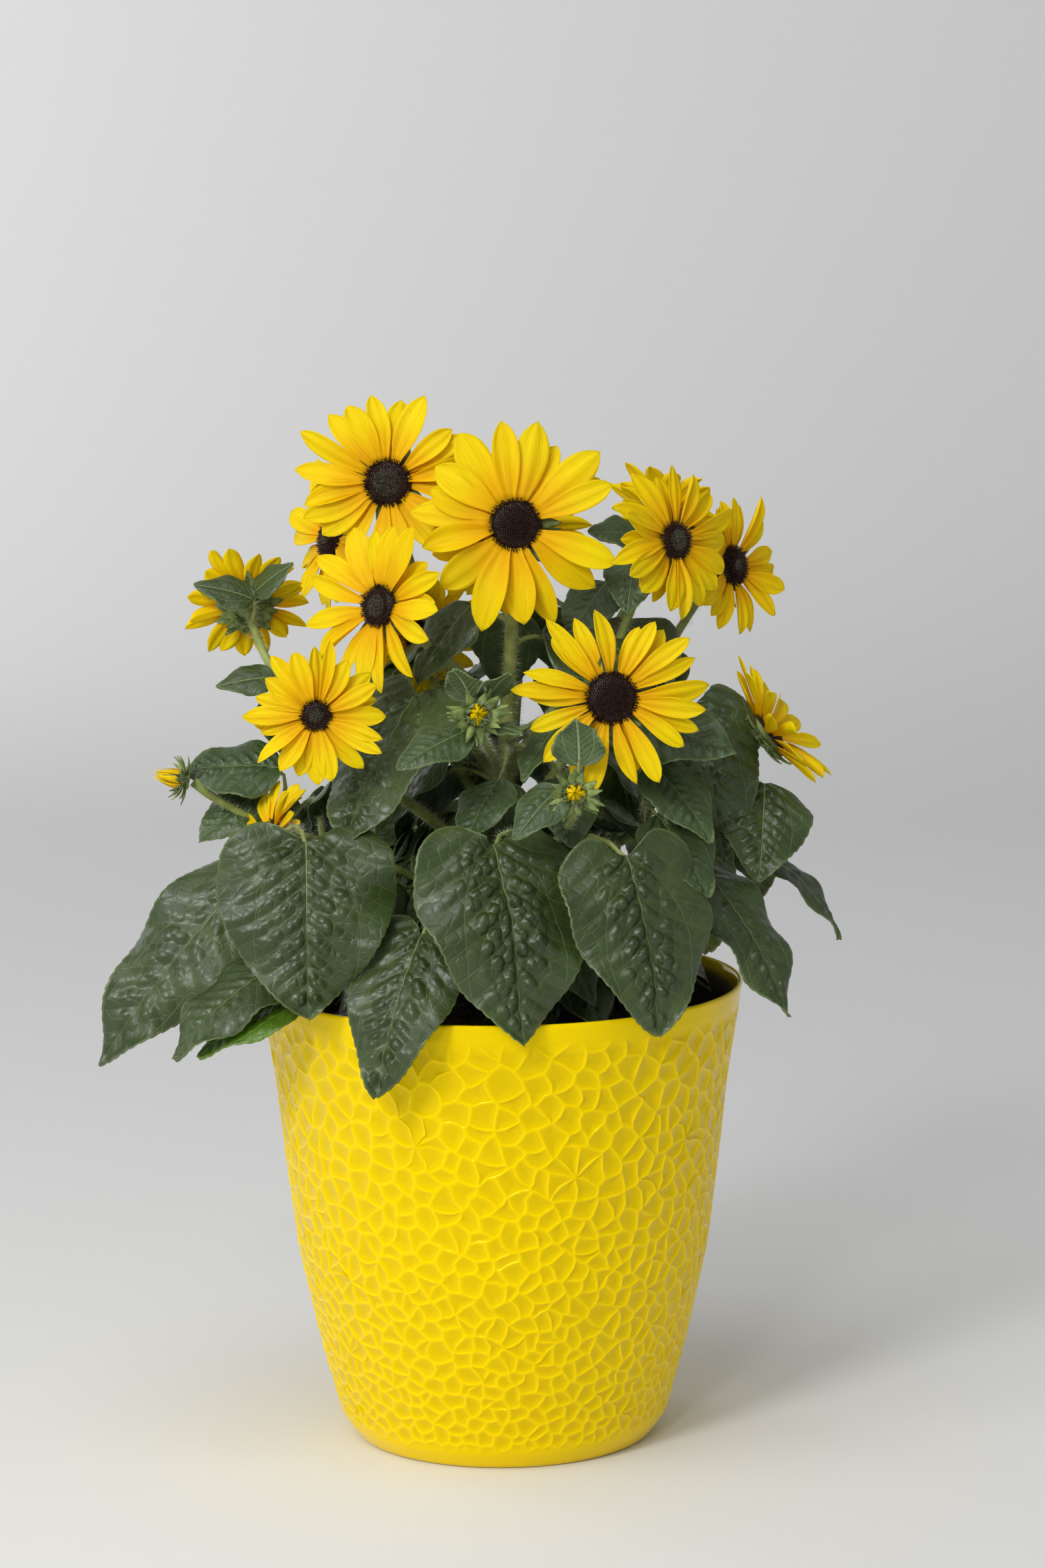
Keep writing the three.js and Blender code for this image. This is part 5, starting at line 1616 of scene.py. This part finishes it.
def clear_of_pot(leaf):
    """A leaf with a part lower than the rim has to hang inside the wall there, or well outside it."""
    tips = plain_blade(leaf) + leaf["foot"]
    tips = tips[tips[:, 2] < POT_TOP + RIM_ROOM]
    wall = np.interp(tips[:, 2], fine_levels, fine_radius)
    reach = np.hypot(tips[:, 0], tips[:, 1])
    return bool((reach < wall - WALL - INSIDE_ROOM).all() or (reach > wall + OUTSIDE_ROOM).all())


def has_room(leaf):
    """Clear of the pot, and not in front, high up between the blooms: there the plant is open and its stems show."""
    in_front = leaf["foot"][1] < 0 and abs(leaf["heading"] % 360 - OPEN_HEADING) < OPEN_SPREAD
    return clear_of_pot(leaf) and not (leaf["foot"][2] > OPEN_ABOVE and in_front)


# Small leaves that stand singly by one bloom. Each row: stem, place on it, how far the leaf's foot is from
# there, and the leaf.
SINGLE_LEAVES = [
    ("stem_outer_left", 0.94, (1, -9, 13), shaped(184, -14, 30, 22, 30, -46)),
    ("stem_outer_left", 0.98, (3, -10, 9), shaped(352, -36, 25, 19, 30, 46)),
    ("stem_outer_left", 0.8, (-3, -5, 3), shaped(188, 8, 29, 19, 26, -50))]
TRIES = 6          # how often a place in a ring is tried before it stays empty
# Rings of leaves round the main stem: how many, the heights they leave it at, how far out they start, and how
# far above their root. The lowest ring hides the soil, and the others close the heart of the plant.
RINGS = [(12, (212, 236), (50, 76), 18), (11, (232, 262), (54, 84), 14), (9, (262, 300), (26, 52), 10),
         (11, (312, 366), (22, 54), 8), (7, (372, 414), (12, 30), 6)]


def single_leaves():
    leaves = []
    for stem, share, away, leaf in SINGLE_LEAVES:
        root = stem_lines[stem][round(share * (len(stem_lines[stem]) - 1))]
        leaves.append(dict(leaf, root=root, foot=root + away))
        print("single leaf at", leaves[-1]["foot"].round())
    return leaves


def ring_leaves():
    leaves = []
    for count, heights, reaches, rise in RINGS:
        for k in range(count):
            for _ in range(TRIES):
                root = main_point(shoot_random.uniform(*heights))
                heading = (k + shoot_random.uniform(-0.3, 0.3)) * 360 / count
                foot = root + bearing(heading, 0) * shoot_random.uniform(*reaches) + UP * rise
                leaf = drawn_leaf(shoot_random.uniform(44, 60), heading, (34, 66), (0.66, 0.85), (24, 44),
                                  foot=foot, root=root)
                if has_room(leaf):
                    leaves.append(leaf)
                    break
    return leaves


def kept_inside(leaf, low, high, spare=14):
    tips = plain_blade(leaf) + leaf["foot"]
    return bool((tips.min(0) > low - spare).all() and (tips.max(0) < high + spare).all())


for node in ("foliage_inner_front", "foliage_inner_back"):
    low, high = box_mm(node)
    twigs, leaves = grown(node)
    more = upper_leaves() if "back" in node else ring_leaves() + single_leaves()
    more = [leaf for leaf in more if has_room(leaf)]
    inside = [leaf for leaf in leaves if kept_inside(leaf, low, high) and has_room(leaf)] + more
    petioles += [petiole(leaf, SMALL_PETIOLE) for leaf in more]
    print(node, "grew", len(twigs), "twigs and", len(leaves), "leaves,", len(inside), "of them kept")
    name = node.replace("foliage_", "")
    leaf_piece("leaves_" + name, inside, [node], LEAF_TOP, 0.42)
    piece("twigs_" + name, new_mesh(name, joined(twigs)), [node], STEM)

# %% [markdown]
# ## Stems and bristles
#
# Now that every leaf knows where its petiole leaves the stems, the stems and petioles are finished. Their
# bristles are real: short thin spikes spread over the skin at a set density, standing straight out, with
# the scatter in one geometry tree.


# %% Stems
def bristle_tree():
    inputs = {"Density": ("Float", 250000.0), "Length": ("Float", 0.0016), "Seed": ("Int", 1)}
    tree, given, out = geometry_tree("stem_bristles", inputs)
    spread = add(tree, "GeometryNodeDistributePointsOnFaces",
                 {"Mesh": given["Geometry"], "Density": given["Density"], "Seed": given["Seed"]})
    spike = add(tree, "GeometryNodeMeshCone",
                {"Vertices": 3, "Radius Top": 0.0, "Radius Bottom": 0.00005, "Depth": given["Length"]},
                fill_type="NONE")
    size = drawn(tree, 0.5, 1.3)
    spikes = copies(tree, spread.outputs["Points"], spike.outputs["Mesh"], spread.outputs["Rotation"], size)
    tree.links.new(painted(tree, spikes, HAIR), out[0])
    return tree


limb_nodes = [n for n in stem_lines if not n.startswith("bud")]
limbs = joined(stem_tubes + petioles)
hairy = joined([{k: part[k] for k in ("points", "faces")} for part in all_bracts + bud_bracts])
BRISTLES = bristle_tree()
for name, skin, slot, nodes, settings in (
        ("bristles", limbs, "stem", limb_nodes, {"Seed": 4, "Length": 0.0027, "Density": 520000.0}),
        ("bract_bristles", hairy, "bud", bud_nodes, {"Seed": 9, "Length": 0.0018, "Density": 560000.0})):
    piece(name, worked(new_mesh("skin", skin), BRISTLES, settings), nodes)
piece("stems", new_mesh("stems", limbs), limb_nodes + bud_nodes, STEM)
